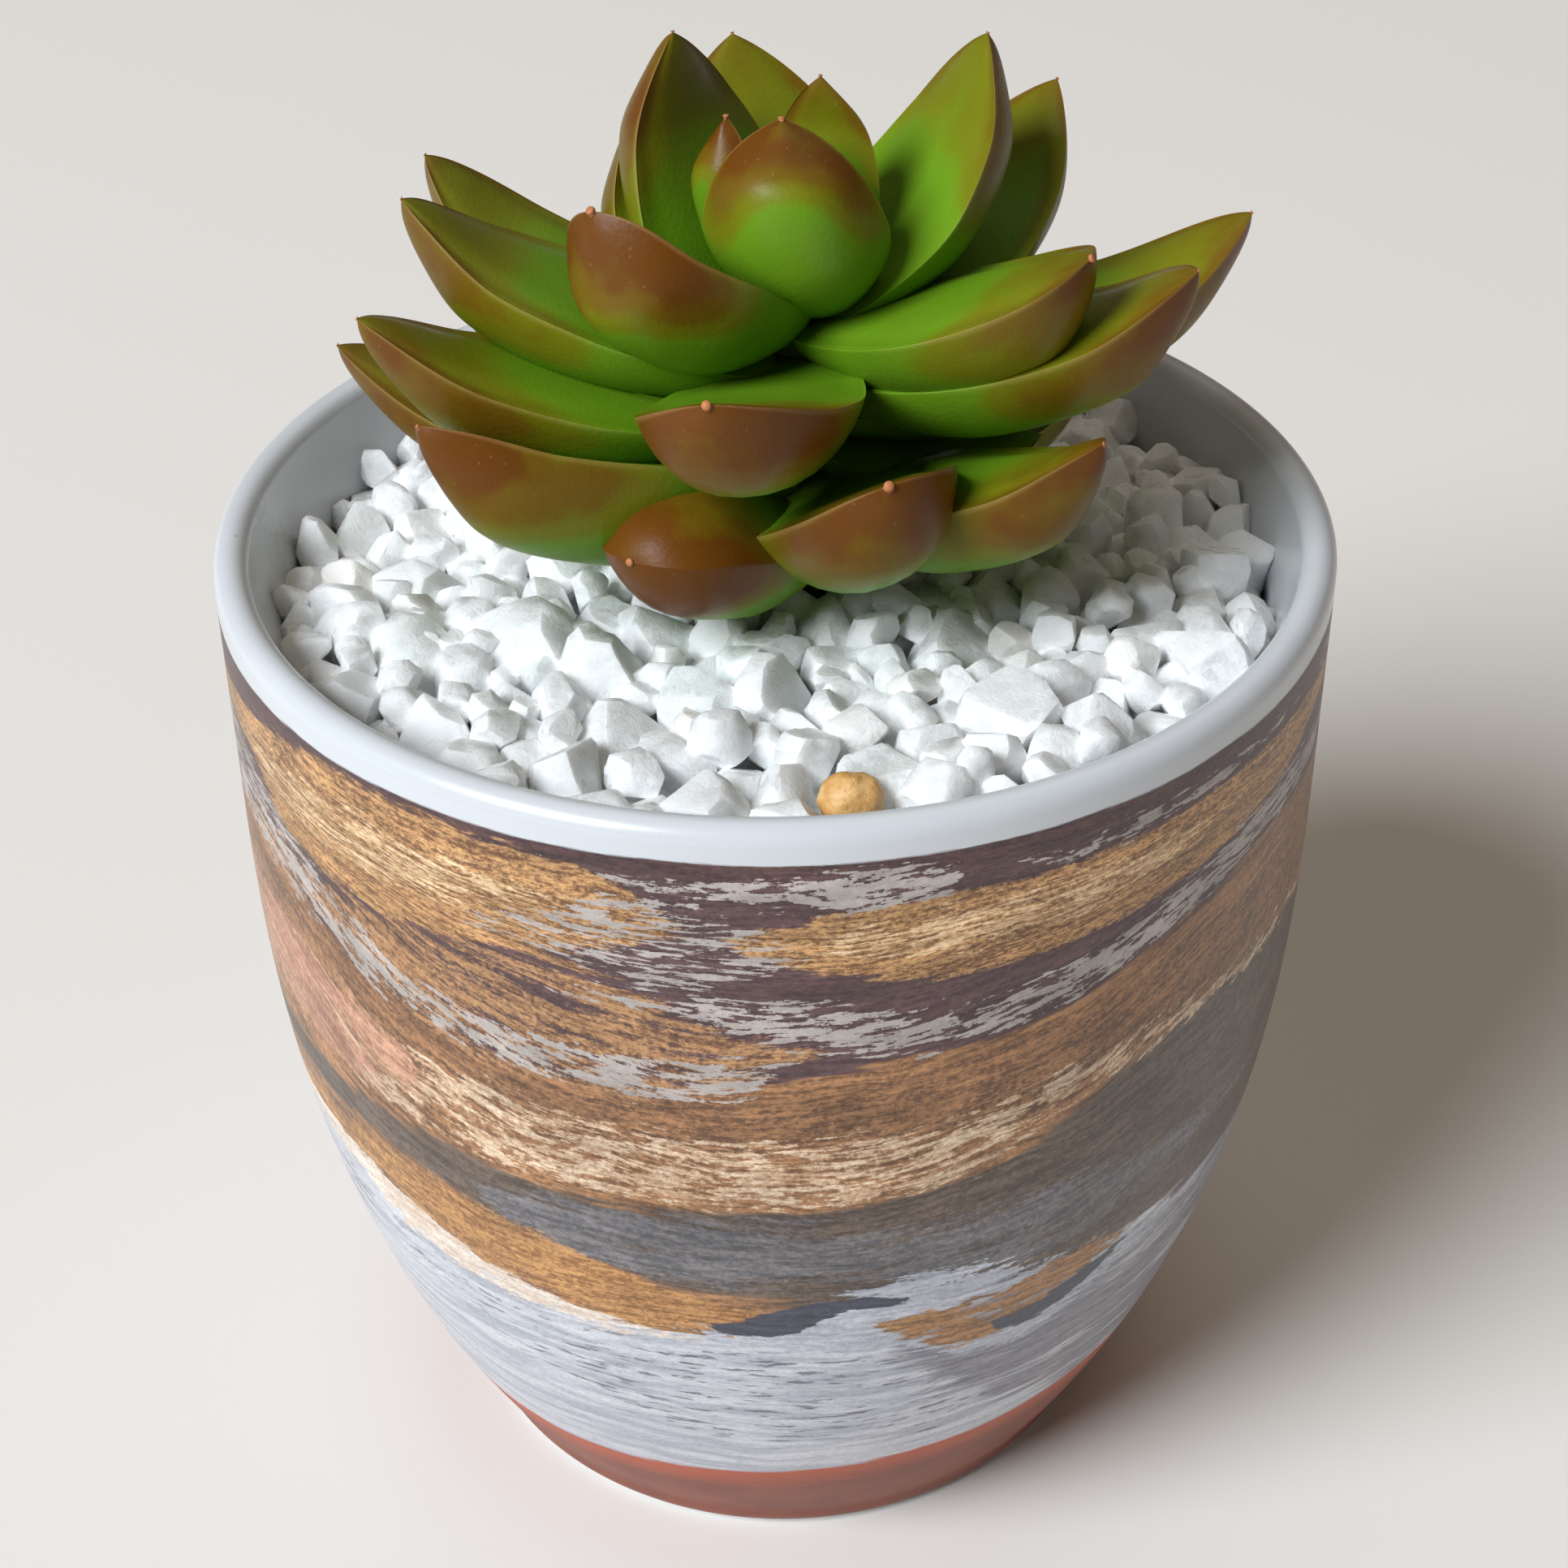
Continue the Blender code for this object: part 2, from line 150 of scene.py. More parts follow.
# One layer of brushwork on the pot. Each edge is a line of (bearing, height) points, soft is the
# height over which it thins out, cover the share that the brush leaves at the layer's middle,
# crisp a hard torn edge, and grain how strongly the paint is speckled.
Brushwork = namedtuple("Brushwork", "name light dark lower upper soft cover crisp grain")

BRUSHWORK = (
    # Darker violet-grey over the pale glaze on the right side, away from the window: partly the
    # glaze's own tone, partly painted shade
    Brushwork("violet tone and painted shade", (156, 154, 164), (116, 114, 124),
              ((-180, 37), (0, 38), (14, 30), (26, 21), (44, 15), (70, 16), (100, 34)),
              ((-180, 36), (0, 38), (26, 40), (44, 41), (70, 41), (100, 38)), 4.5, 0.66, 0.1, 0.2),
    Brushwork("dark strokes", (126, 128, 140), (98, 98, 110),
              ((-180, 24), (-90, 26), (-60, 30), (-36, 27), (-20, 20), (0, 17), (24, 18), (50, 24),
               (110, 27)),
              ((-180, 40), (-60, 40), (-36, 38), (-20, 38), (0, 38), (24, 38), (50, 38), (110, 38)),
              6.0, 0.36, 0.6, 0.2),
    Brushwork("tan ground", (178, 130, 88), (112, 76, 50),
              ((-180, 42), (-110, 40), (-80, 43), (-58, 42.5), (-44, 40), (-34, 38), (-20, 37),
               (-2, 37), (8, 41), (20, 43), (36, 40), (48, 39), (75, 41), (120, 40)),
              ((-180, 95),), 1.3, 1.0, 0.5, 0.6),
    Brushwork("white edge", (236, 226, 216), (214, 190, 170),
              ((-180, 39), (-110, 38), (-80, 40), (-58, 39.5), (-44, 36.5), (-34, 35.5), (-20, 35.5),
               (-8, 36), (4, 37), (120, 38)),
              ((-180, 41), (-110, 39.5), (-80, 43), (-58, 44), (-44, 41.5), (-34, 39.5),
               (-20, 37.8), (-8, 37), (4, 36.5), (120, 37.5)), 1.5, 0.75, 0.6, 0.4),
    Brushwork("warm slate", (114, 98, 86), (74, 60, 52),
              ((-180, 44), (-110, 45), (-70, 47), (-45, 47.5), (-30, 45), (-12, 42), (4, 41),
               (22, 40), (40, 38), (60, 39), (90, 42), (130, 43)),
              ((-180, 50), (-110, 50), (-70, 50.5), (-45, 51), (-28, 51.5), (0, 51.5), (20, 53.5),
               (34, 58), (52, 61), (75, 58), (110, 52), (140, 50)), 2.4, 0.92, 0.2, 0.5),
    Brushwork("blue slate", (128, 124, 126), (84, 82, 86),
              ((-180, 46), (-60, 49), (-34, 47), (-26, 43.5), (-12, 43), (4, 43), (18, 42),
               (30, 41), (44, 44), (64, 46), (90, 47), (130, 47)),
              ((-180, 47), (-60, 49), (-34, 48.5), (-26, 50.5), (-12, 51), (4, 50), (18, 49),
               (30, 49), (44, 48), (64, 47), (90, 46), (130, 46)), 2.2, 0.72, 0.3, 0.5),
    Brushwork("ochre", (202, 150, 92), (136, 88, 44),
              ((-180, 42), (-120, 40), (-70, 42), (-52, 42.5), (-40, 40), (-30, 38.5), (-20, 37.3),
               (-4, 37), (4, 39), (20, 41), (150, 42)),
              ((-180, 44), (-120, 43), (-70, 44), (-52, 46), (-40, 47), (-30, 46), (-20, 44.5),
               (-8, 41.5), (0, 39.5), (6, 39), (20, 40), (150, 41)), 1.5, 0.86, 0.4, 0.7),
    Brushwork("pale strokes", (202, 205, 214), (164, 168, 182),
              ((-180, 36), (-40, 36), (-8, 36), (4, 34), (14, 33), (26, 30), (40, 34), (60, 37),
               (110, 36)),
              ((-180, 36), (-40, 37), (-8, 38), (0, 40.5), (8, 43), (18, 43.5), (28, 41), (44, 39),
               (60, 38), (110, 37)), 1.8, 0.66, 0.7, 0.2),
    Brushwork("ochre dab", (188, 136, 84), (122, 84, 48),
              ((-180, 35), (-30, 35), (6, 38), (13, 35), (22, 32), (30, 33.5), (40, 37.5), (120, 36)),
              ((-180, 34), (-30, 34), (6, 37.5), (13, 38.5), (22, 38.5), (32, 40), (42, 39),
               (120, 35)), 1.3, 0.68, 0.6, 0.6),
    Brushwork("navy dab", (76, 78, 94), (52, 54, 68),
              ((-180, 37), (-10, 38.5), (-5, 37), (0, 37.2), (8, 40), (20, 38), (26, 32.5), (34, 34),
               (44, 38), (100, 37)),
              ((-180, 36), (-10, 38), (-5, 39), (0, 40.5), (8, 41.5), (20, 36), (26, 34.5), (34, 36.5),
               (44, 38), (100, 36)), 0.9, 0.95, 0.8, 0.3),
    Brushwork("gold haze", (164, 118, 80), (98, 68, 48),
              ((-180, 56), (-70, 59), (-40, 56), (0, 56), (24, 57), (40, 60), (60, 61), (110, 57)),
              ((-180, 66), (-70, 69), (-40, 66), (-20, 64), (0, 64), (24, 66), (40, 68), (60, 70),
               (110, 67)), 2.5, 0.66, 0.2, 0.9),
    Brushwork("cream streaks", (226, 202, 174), (176, 138, 102),
              ((-180, 52), (-70, 54), (-40, 51.8), (-20, 51.6), (0, 51.6), (16, 52.5), (34, 58),
               (60, 59), (110, 54)),
              ((-180, 58), (-70, 61), (-40, 60.5), (-20, 60), (0, 59.5), (16, 60), (34, 62), (60, 62),
               (110, 58)), 1.8, 0.52, 0.6, 0.6),
    Brushwork("peach blush", (204, 156, 128), (158, 108, 84),
              ((-180, 56), (-90, 55), (-72, 53), (-56, 52.5), (-44, 54), (-34, 57), (40, 61),
               (90, 60)),
              ((-180, 55), (-90, 60), (-72, 64), (-56, 63), (-44, 61), (-34, 57.5), (40, 60),
               (90, 58)), 3.0, 0.72, 0.1, 0.5),
    Brushwork("plum", (100, 74, 74), (70, 48, 52),
              ((-180, 66), (-110, 67), (-64, 69), (-50, 66.5), (-34, 63.5), (-20, 62.5), (-4, 64),
               (10, 65.5), (24, 66.8), (40, 69.5), (56, 72), (80, 71), (120, 67)),
              ((-180, 95),), 1.6, 1.0, 0.5, 0.5),
    Brushwork("mottled brown", (188, 142, 98), (112, 76, 54),
              ((-180, 68), (-70, 68), (-50, 66), (-34, 62), (-22, 61), (-10, 62), (0, 65), (10, 70),
               (60, 74), (120, 70)),
              ((-180, 74), (-70, 72), (-50, 72), (-34, 74), (-22, 75), (-10, 72), (0, 69.5),
               (10, 70), (60, 73), (120, 73)), 2.2, 0.58, 0.5, 0.9),
    Brushwork("gold lobe", (204, 156, 104), (116, 78, 48),
              ((-180, 74), (-110, 75), (-66, 77), (-56, 73), (-40, 72), (-26, 73.5), (-15, 76),
               (-8, 77.5), (0, 75), (8, 73.6), (24, 73), (40, 74), (58, 76), (72, 78), (110, 76)),
              ((-180, 80), (-110, 80), (-66, 80.5), (-56, 82.3), (-40, 83.2), (-26, 83.0), (-15, 81.6),
               (-8, 78), (0, 78.5), (8, 80), (24, 80), (40, 80.4), (58, 80.8), (72, 80), (110, 80)),
              1.4, 0.96, 0.3, 1.0),
    Brushwork("gold sparkle", (238, 208, 166), (186, 142, 96),
              ((-180, 76), (-70, 78), (-54, 75), (-38, 75), (-24, 77.5), (-14, 79.5), (0, 77),
               (8, 75), (22, 74.6), (36, 75.6), (52, 77.5), (110, 77)),
              ((-180, 77), (-70, 78.5), (-54, 80), (-38, 80.6), (-24, 80.4), (-14, 80), (0, 77.4),
               (8, 79), (22, 79.2), (36, 79.2), (52, 78.8), (110, 78)), 1.8, 0.52, 0.6, 0.8),
    Brushwork("rim line", (96, 68, 66), (66, 44, 48),
              ((-180, 81.6), (-66, 81), (-40, 82.6), (-20, 82.2), (-8, 81.5), (30, 81.6), (60, 82),
               (110, 82)),
              ((-180, 95),), 1.3, 0.66, 0.6, 0.6),
)

# The strata sag towards the front, so the strokes are laid along this line
SAG_LINE = ((-180, 10), (-100, 13), (-64, 14), (-40, 9.5), (-16, 5.5), (6, 5), (26, 7), (50, 11.5),
            (80, 13), (130, 9))

# The lower end of the glaze, over the bare clay
FOOT_LINE = ((-180, 12.5), (-90, 11), (-40, 11.8), (-18, 13.2), (0, 14.2), (22, 15.4), (45, 16.6),
             (90, 16), (140, 13.5))

# Stray specks on the pattern: share of the cells that hold one, size and colour
STRAY_SPECKS = ((0.10, 0.10, (238, 232, 224)), (0.14, 0.05, (48, 38, 36)))

# Where light flecks of the ground show through the plum
Flecks = namedtuple("Flecks", "name lower upper cover soft crisp", defaults=(1.5, 1.0))

FLECKS = (
    Flecks("rim patch",
           ((-180, 80), (-30, 82), (-12, 81), (0, 79.8), (5, 79.2), (15, 79.6), (18, 82.4),
            (22, 80.4), (40, 80.4), (60, 81), (110, 80)),
           ((-180, 80.5), (-30, 82.4), (-12, 82.6), (0, 83), (5, 83.4), (14, 83.2), (18, 82.3),
            (22, 81.8), (40, 82.2), (60, 82.2), (110, 80.6)), 0.60),
    Flecks("left streaks",
           ((-180, 68), (-110, 69), (-74, 69), (-60, 67), (-46, 64.5), (-30, 62.5), (-18, 62),
            (-4, 62.5), (2, 66), (60, 68), (110, 68)),
           ((-180, 72), (-110, 73), (-74, 77.5), (-60, 75), (-46, 70), (-30, 67), (-18, 66.5),
            (-4, 67), (2, 66.5), (60, 67), (110, 71)), 0.52),
    Flecks("right streaks",
           ((-180, 70), (-30, 70), (-16, 70.5), (-6, 69.5), (2, 67), (12, 65.8), (24, 66.8),
            (40, 69.5), (56, 72), (80, 72), (120, 70)),
           ((-180, 69), (-30, 70), (-16, 72), (-6, 72.5), (2, 72.5), (12, 70.6), (24, 70.8),
            (40, 73.5), (56, 76), (80, 75), (120, 72)), 0.55),
    Flecks("middle flecks",
           ((-180, 70), (-40, 74), (-24, 74), (-12, 71.5), (-4, 73), (6, 76), (60, 75), (120, 72)),
           ((-180, 69), (-40, 73), (-24, 78), (-12, 81), (-4, 79.5), (6, 76), (60, 74), (120, 71)),
           0.46),
)

# One leaf, counted from the bud outwards. azimuth: heading seen from above, 0 along +X, in degrees.
# foot: height on the stem. rise: slope at half length, and curl: how much the slope grows from
# foot to tip. twist: roll about the leaf's own length. point: high for an acute tip. seat: azimuth
# of the foot on the stem. sway: sideways lean at the tip. blush: how far the sun has reddened it.
# bead: radius of the small bead at its tip. blunt: high for an end that stays wide until late.
# crown: how far the upper side domes, as a share of the depth. hook: how far the end turns up out
# of its curve. root: width at the foot as a share of the whole width.
Leaf = namedtuple(
    "Leaf",
    "azimuth foot length rise curl width depth blush"
    " twist point seat sway bead blunt crown hook root",
    defaults=(0.0, 0.78, None, 0.0, 0.16, 3.4, 0.1, 0.9, 0.54),
)

LEAVES = (
    Leaf(268, 107.0, 14.5, 83, 50, 12.6, 5.5, 0.74, 0, 0.80, 350, -2.3, bead=0.26, blunt=3.8),
    Leaf(186, 107.0, 14.0, 77, 14, 7.8, 2.8, 0.75, 38, 0.95, bead=0.22),
    Leaf(51, 107.0, 15.5, 84, 14, 8.8, 3.0, 0.70, 22, 0.95),
    Leaf(106, 105.0, 24.0, 37, 25, 17.4, 5.5, 0.62, 0, 0.95, 60),
    Leaf(216, 105.5, 20.0, 38, 25, 13.0, 6.0, 0.92, 20, 0.62, bead=0.34, blunt=4.2),
    Leaf(28, 105.5, 23.5, 50, 30, 15.4, 5.2, 0.60, -6, 0.88, None, 0.6),
    Leaf(335, 105.0, 23.0, 22, 25, 13.0, 6.4, 0.65, 0, 0.52, bead=0.32, blunt=5.4, hook=-0.2),
    Leaf(148, 104.0, 22.5, 66, 30, 16.2, 5.2, 0.70, -2, 0.95, None, -0.9),
    Leaf(148, 101.5, 20.6, 52, 25, 15.6, 5.5, 0.50, 0, 0.80, None, -0.9),
    Leaf(40, 103.0, 29.0, 28, 38, 16.0, 5.5, 0.55, 0, 0.90),
    Leaf(182, 102.5, 29.5, 25, 22, 14.5, 6.0, 0.60, 0, 0.80, root=0.66),
    Leaf(74, 102.0, 24.0, 15, 25, 13.0, 5.5, 0.50),
    Leaf(345, 101.5, 30.0, 20, 26, 13.4, 6.5, 0.72, 0, 0.70, blunt=4.0),
    Leaf(256, 102.2, 25.0, 18.5, 35, 14.5, 6.0, 0.92, 8, 0.62, bead=0.34, blunt=4.2, hook=0.1,
         root=0.6),
    Leaf(158, 100.0, 31.5, 25, 25, 13.0, 5.5, 0.60),
    Leaf(104, 99.5, 28.0, 20, 25, 13.5, 5.5, 0.60),
    Leaf(172, 99.0, 27.0, 23, 25, 13.0, 5.5, 0.60),
    Leaf(195, 98.5, 32.5, 19, 22, 14.0, 6.0, 0.65),
    Leaf(15, 98.0, 36.5, 17, 25, 14.0, 6.0, 0.65),
    Leaf(52, 98.0, 30.0, 15, 25, 13.0, 5.5, 0.60),
    Leaf(132, 96.5, 29.0, 11, 25, 13.0, 5.5, 0.60),
    Leaf(5, 95.0, 17.5, -4, 20, 12.0, 5.0, 0.30),
    Leaf(84, 94.5, 30.0, 12, 25, 13.0, 5.5, 0.60),
    Leaf(172, 94.0, 34.5, 11, 25, 12.5, 5.5, 0.70),
    Leaf(208, 92.5, 31.0, 21, 30, 13.5, 6.5, 0.82, 32, 0.70),
    Leaf(322, 92.0, 28.0, 23, 25, 13.0, 6.5, 0.78, 0, 0.70),
    Leaf(30, 92.0, 27.0, 8, 25, 12.5, 5.5, 0.60),
    Leaf(280, 91.2, 24.0, 27, 28, 14.0, 6.6, 0.82, 14, 0.58, 350, 1.0, 0.36, 4.6, hook=-0.3),
    Leaf(112, 91.0, 28.0, 8, 25, 12.5, 5.5, 0.60),
    Leaf(150, 89.0, 25.0, 6, 22, 12.0, 5.5, 0.60),
    Leaf(60, 89.4, 22.0, 3, 18, 11.5, 5.5, 0.60),
    Leaf(232, 86.0, 21.0, 22, -14, 11.6, 5.4, 1.35, 6, 0.50, 270, 0, 0.30, 6.0, 0.74, hook=-0.4),
)


def length_setting(name, description, default, lowest=0.0):
    return FloatProperty(
        name=name, description=description, default=default * MM, min=lowest * MM, unit="LENGTH",
        precision=4)


def colour_setting(name, description, *screen):
    """A colour, its default given as it is read off a screen."""
    return FloatVectorProperty(
        name=name, description=description, default=srgb(*screen), size=3, min=0, max=1,
        subtype="COLOR")


class PotSettings(bpy.types.PropertyGroup):
    """Sizes and colours of the pot."""

    radius: length_setting("Rim radius", "Radius of the pot's outside at the rim", 44, 10)
    height: length_setting("Height", "Height of the pot to the top of its lip", 86.5, 20)
    sides: IntProperty(
        name="Sides", description="Number of flat sides that the round wall is made of",
        default=192, min=24)
    glaze: colour_setting("White glaze", "Colour of the rim and the inside", 210, 214, 219)
    pale: colour_setting(
        "Pale glaze", "Light colour of the glaze round the foot of the pattern", 214, 216, 222)
    pale_shade: colour_setting(
        "Pale glaze, shaded", "Darker streaks of the pale glaze", 172, 176, 188)
    fleck: colour_setting(
        "Flecks", "Grey-beige flecks that show through the plum", 186, 176, 170)
    clay: colour_setting("Clay", "Colour of the bare foot", 146, 84, 66)
    clay_edge: colour_setting(
        "Clay edge", "Brighter line where the clay meets the glaze", 190, 92, 62)


class GravelSettings(bpy.types.PropertyGroup):
    """Sizes and colours of the stones and the soil."""

    stone_radius: length_setting("Stone radius", "Mean radius of one marble chip", 3.1, 1)
    spread: FloatProperty(
        name="Spread", description="Share by which the radius varies from chip to chip",
        default=0.27, min=0, max=0.6, subtype="FACTOR")
    top: length_setting("Top", "Height of the gravel's surface over the pot's axis", 82.8)
    slope: FloatProperty(
        name="Slope", description="Fall of the surface for each length towards the back",
        default=0.05, min=-0.3, max=0.3)
    lean: FloatProperty(
        name="Lean", description="Rise of the surface for each length towards the right",
        default=0.025, min=-0.3, max=0.3)
    throws: IntProperty(
        name="Throws", description="How many chips are dropped in until the bed is full",
        default=2400, min=10)
    seed: IntProperty(name="Seed", description="Seed of the random draw", default=7)
    marble: colour_setting("Marble", "Colour of the chips", 246, 248, 249)
    ochre: colour_setting("Ochre", "Colour of the one ochre pebble", 230, 186, 122)
    soil: colour_setting("Soil", "Colour of the soil under the stones", 52, 40, 32)


class PlantSettings(bpy.types.PropertyGroup):
    """Fineness and colours of the plant."""

    leaf_sides: IntProperty(
        name="Leaf sides", description="Points round a leaf's section", default=48, min=12)
    leaf_rings: IntProperty(
        name="Leaf rings", description="Rings along a leaf", default=54, min=12)
    green: colour_setting("Green", "Young green at the foot of a leaf", 106, 150, 26)
    olive: colour_setting("Olive", "Yellow-green between the green and the blush", 118, 122, 18)
    rust: colour_setting("Rust", "Orange brown of a margin and of an underside", 114, 88, 14)
    wine: colour_setting("Wine", "Red brown at the tips", 106, 62, 12)
    bead: colour_setting("Bead", "Pink of the bead at a leaf's tip", 190, 122, 80)
    bark: colour_setting("Bark", "Colour of the stem", 70, 62, 34)


class StageSettings(bpy.types.PropertyGroup):
    """Floor, lights and camera."""

    floor: colour_setting("Floor", "Colour of the floor", 240, 236, 231)
    key_power: FloatProperty(
        name="Window", description="Power of the large soft light at the left",
        default=202.0, min=0, unit="POWER")
    ceiling_power: FloatProperty(
        name="Ceiling", description="Power of the dim light from above and behind",
        default=9.5, min=0, unit="POWER")
    sky: FloatProperty(
        name="Room light", description="Strength of the light from all round",
        default=0.10, min=0)
    focal_length: FloatProperty(
        name="Focal length", description="Focal length on a sensor 36 mm wide",
        default=65.2, min=10, unit="CAMERA")


def settings(name):
    return getattr(bpy.context.scene, "succulent_" + name)


# Modelling by hand


def deselect_all():
    if bpy.context.mode != "OBJECT":
        bpy.ops.object.mode_set(mode="OBJECT")
    bpy.ops.object.select_all(action="DESELECT")


def pick(piece):
    deselect_all()
    piece.select_set(True)
    bpy.context.view_layer.objects.active = piece


def start_edit():
    """Opens the active piece with all of its faces picked."""
    bpy.ops.object.mode_set(mode="EDIT")
    bpy.ops.mesh.select_mode(type="FACE")
    bpy.ops.mesh.select_all(action="SELECT")


def end_edit():
    """Turns all faces of the open piece outwards and closes it."""
    bpy.ops.mesh.select_all(action="SELECT")
    bpy.ops.mesh.normals_make_consistent(inside=False)
    bpy.ops.object.mode_set(mode="OBJECT")


def raised_body(name, profile, sides, centre=(0.0, 0.0)):
    """A closed round body: a filled circle at the first (radius, height), extruded ring by ring."""
    deselect_all()
    radius, height = profile[0]
    place = (centre[0] * MM, centre[1] * MM, height * MM)
    bpy.ops.mesh.primitive_circle_add(
        vertices=sides, radius=radius * MM, fill_type="NGON", location=place)
    body = bpy.context.object
    body.name = name
    start_edit()
    for next_radius, next_height in profile[1:]:
        rise = (0, 0, (next_height - height) * MM)
        bpy.ops.mesh.extrude_region_move(TRANSFORM_OT_translate={"value": rise})
        share = next_radius / radius
        middle = (place[0], place[1], next_height * MM)
        bpy.ops.transform.resize(value=(share, share, 1), center_override=middle)
        radius, height = next_radius, next_height
    end_edit()
    return body


def points_of(piece):
    points = np.empty(len(piece.data.vertices) * 3)
    piece.data.vertices.foreach_get("co", points)
    return points.reshape(-1, 3)


def set_points(piece, points):
    piece.data.vertices.foreach_set("co", points.ravel())
    piece.data.update()


def paint_points(piece, name, values):
    """Stores one number for each point of the piece, for its material to read."""
    layer = piece.data.attributes.new(name, "FLOAT", "POINT")
    layer.data.foreach_set("value", np.asarray(values, np.float32))


def own_copy(piece, name):
    copy = piece.copy()
    copy.data = piece.data.copy()
    copy.name = name
    bpy.context.scene.collection.objects.link(copy)
    return copy


def discard(piece):
    mesh = piece.data
    bpy.data.objects.remove(piece)
    bpy.data.meshes.remove(mesh)


def hand_over(piece, slot, *nodes):
    """Puts the place of a finished piece into its mesh and lets it stand for the CAD nodes."""
    pick(piece)
    bpy.ops.object.transform_apply(location=True, rotation=True, scale=True)
    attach(piece, "root")
    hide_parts(*nodes)


def smooth_step(value, low, high):
    share = np.clip((value - low) / (high - low), 0, 1)
    return share * share * (3 - 2 * share)


# Materials


class Sheet:
    """Short words for laying out the nodes of one tree."""

    def __init__(self, tree):
        self.tree = tree

    def feed(self, socket, value):
        if isinstance(value, bpy.types.NodeSocket):
            self.tree.links.new(value, socket)
        elif socket.type == "RGBA" and len(value) == 3:
            socket.default_value = (*value, 1)
        else:
            socket.default_value = value

    def feed_all(self, sockets, values):
        for name, value in values.items():
            self.feed(sockets[name], value)

    def add(self, kind, inputs=(), **choices):
        node = self.tree.nodes.new(kind)
        for name, value in choices.items():
            setattr(node, name, value)
        self.feed_all(node.inputs, dict(inputs))
        return node

    def maths(self, operation, *values, clamp=False):
        node = self.add("ShaderNodeMath", enumerate(values), operation=operation, use_clamp=clamp)
        return node.outputs[0]

    def minus(self, first, second):
        return self.maths("SUBTRACT", first, second)

    def times(self, first, second):
        return self.maths("MULTIPLY", first, second)

    def times_plus(self, value, factor, base):
        return self.maths("MULTIPLY_ADD", value, factor, base)

    def swing(self, value, reach, middle):
        """The middle, plus the value's distance from 0.5 times the reach."""
        return self.times_plus(self.minus(value, 0.5), reach, middle)

    def step(self, value, low, high):
        """0 up to low, 1 from high on, and smooth between them."""
        node = self.add(
            "ShaderNodeMapRange", {"Value": value, "From Min": low, "From Max": high},
            interpolation_type="SMOOTHSTEP")
        return node.outputs[0]

    def mix(self, factor, first, second, blend="MIX"):
        node = self.add(
            "ShaderNodeMix", {0: factor, 6: first, 7: second}, data_type="RGBA", blend_type=blend)
        return node.outputs[2]

    def vectors(self, operation, first, second, output=0):
        node = self.add("ShaderNodeVectorMath", {0: first, 1: second}, operation=operation)
        return node.outputs[output]

    def noise(self, place, scale, detail=2.0, roughness=0.5):
        inputs = {"Vector": place, "Scale": scale, "Detail": detail, "Roughness": roughness}
        return self.add("ShaderNodeTexNoise", inputs).outputs[0]

    def stretched(self, place, scale):
        return self.add("ShaderNodeMapping", {"Vector": place, "Scale": scale}).outputs[0]

    def long_noise(self, place, scale, detail=2.0, roughness=0.5):
        """Noise with its own scale along each axis."""
        return self.noise(self.stretched(place, scale), 1.0, detail, roughness)

    def cells(self, place, scale):
        return self.add("ShaderNodeTexVoronoi", {"Vector": place, "Scale": scale}).outputs

    def drawn_number(self, cells):
        """The random number of each cell."""
        return self.add("ShaderNodeSeparateColor", {0: cells["Color"]}).outputs[0]

    def millimetres(self):
        place = self.add("ShaderNodeTexCoord").outputs["Object"]
        return self.stretched(place, (1000, 1000, 1000))

    def stored(self, name):
        return self.add("ShaderNodeAttribute", attribute_name=name).outputs["Fac"]

    def ramp(self, value, stops):
        node = self.add("ShaderNodeValToRGB", {0: value})
        node.color_ramp.interpolation = "EASE"
        while len(node.color_ramp.elements) < len(stops):
            node.color_ramp.elements.new(1.0)
        for element, (position, colour) in zip(node.color_ramp.elements, stops):
            element.position = position
            element.color = (*colour, 1)
        return node.outputs[0]

    def mask(self, group, inputs):
        node = self.add("ShaderNodeGroup", node_tree=bpy.data.node_groups[group])
        self.feed_all(node.inputs, inputs)
        return node.outputs["Mask"]

    def mottle(self, place, scale, softness):
        return self.mask("Mottle", {"Place": place, "Scale": scale, "Softness": softness})

    def specks(self, place, scale, size, share):
        return self.mask("Specks", {"Place": place, "Scale": scale, "Size": size, "Share": share})

    def bump(self, height, strength, depth):
        inputs = {"Height": height, "Strength": strength, "Distance": depth * MM}
        return self.add("ShaderNodeBump", inputs).outputs[0]


def shaded(colour, share):
    return [value * share for value in colour]


def new_material(name):
    """A material with an empty sheet and its one shader."""
    made = bpy.data.materials.new(name)
    made.use_nodes = True
    return made, Sheet(made.node_tree), made.node_tree.nodes["Principled BSDF"].inputs


def new_mask_group(name, inputs):
    """A node group with a place or numbers going in and a mask coming out."""
    group = bpy.data.node_groups.new(name, "ShaderNodeTree")
    for label, default in inputs.items():
        kind = "NodeSocketVector" if default is None else "NodeSocketFloat"
        socket = group.interface.new_socket(label, in_out="INPUT", socket_type=kind)
        if default is not None:
            socket.default_value = default
    group.interface.new_socket("Mask", in_out="OUTPUT", socket_type="NodeSocketFloat")
    sheet = Sheet(group)
    start = sheet.add("NodeGroupInput").outputs
    end = sheet.add("NodeGroupOutput").inputs["Mask"]
    return sheet, start, end


def make_mottle():
    """Cloudy spots with soft edges: the mask is 1 on the spots."""
    sheet, start, end = new_mask_group(
        "Mottle", {"Place": None, "Scale": 1.0, "Cover": 0.5, "Softness": 0.1})
    cloud = sheet.noise(start["Place"], start["Scale"], 4.0, 0.6)
    edge = sheet.swing(sheet.minus(1.0, start["Cover"]), 0.5, 0.5)
    low = sheet.minus(edge, start["Softness"])
    high = sheet.maths("ADD", edge, start["Softness"])
    sheet.feed(end, sheet.step(cloud, low, high))


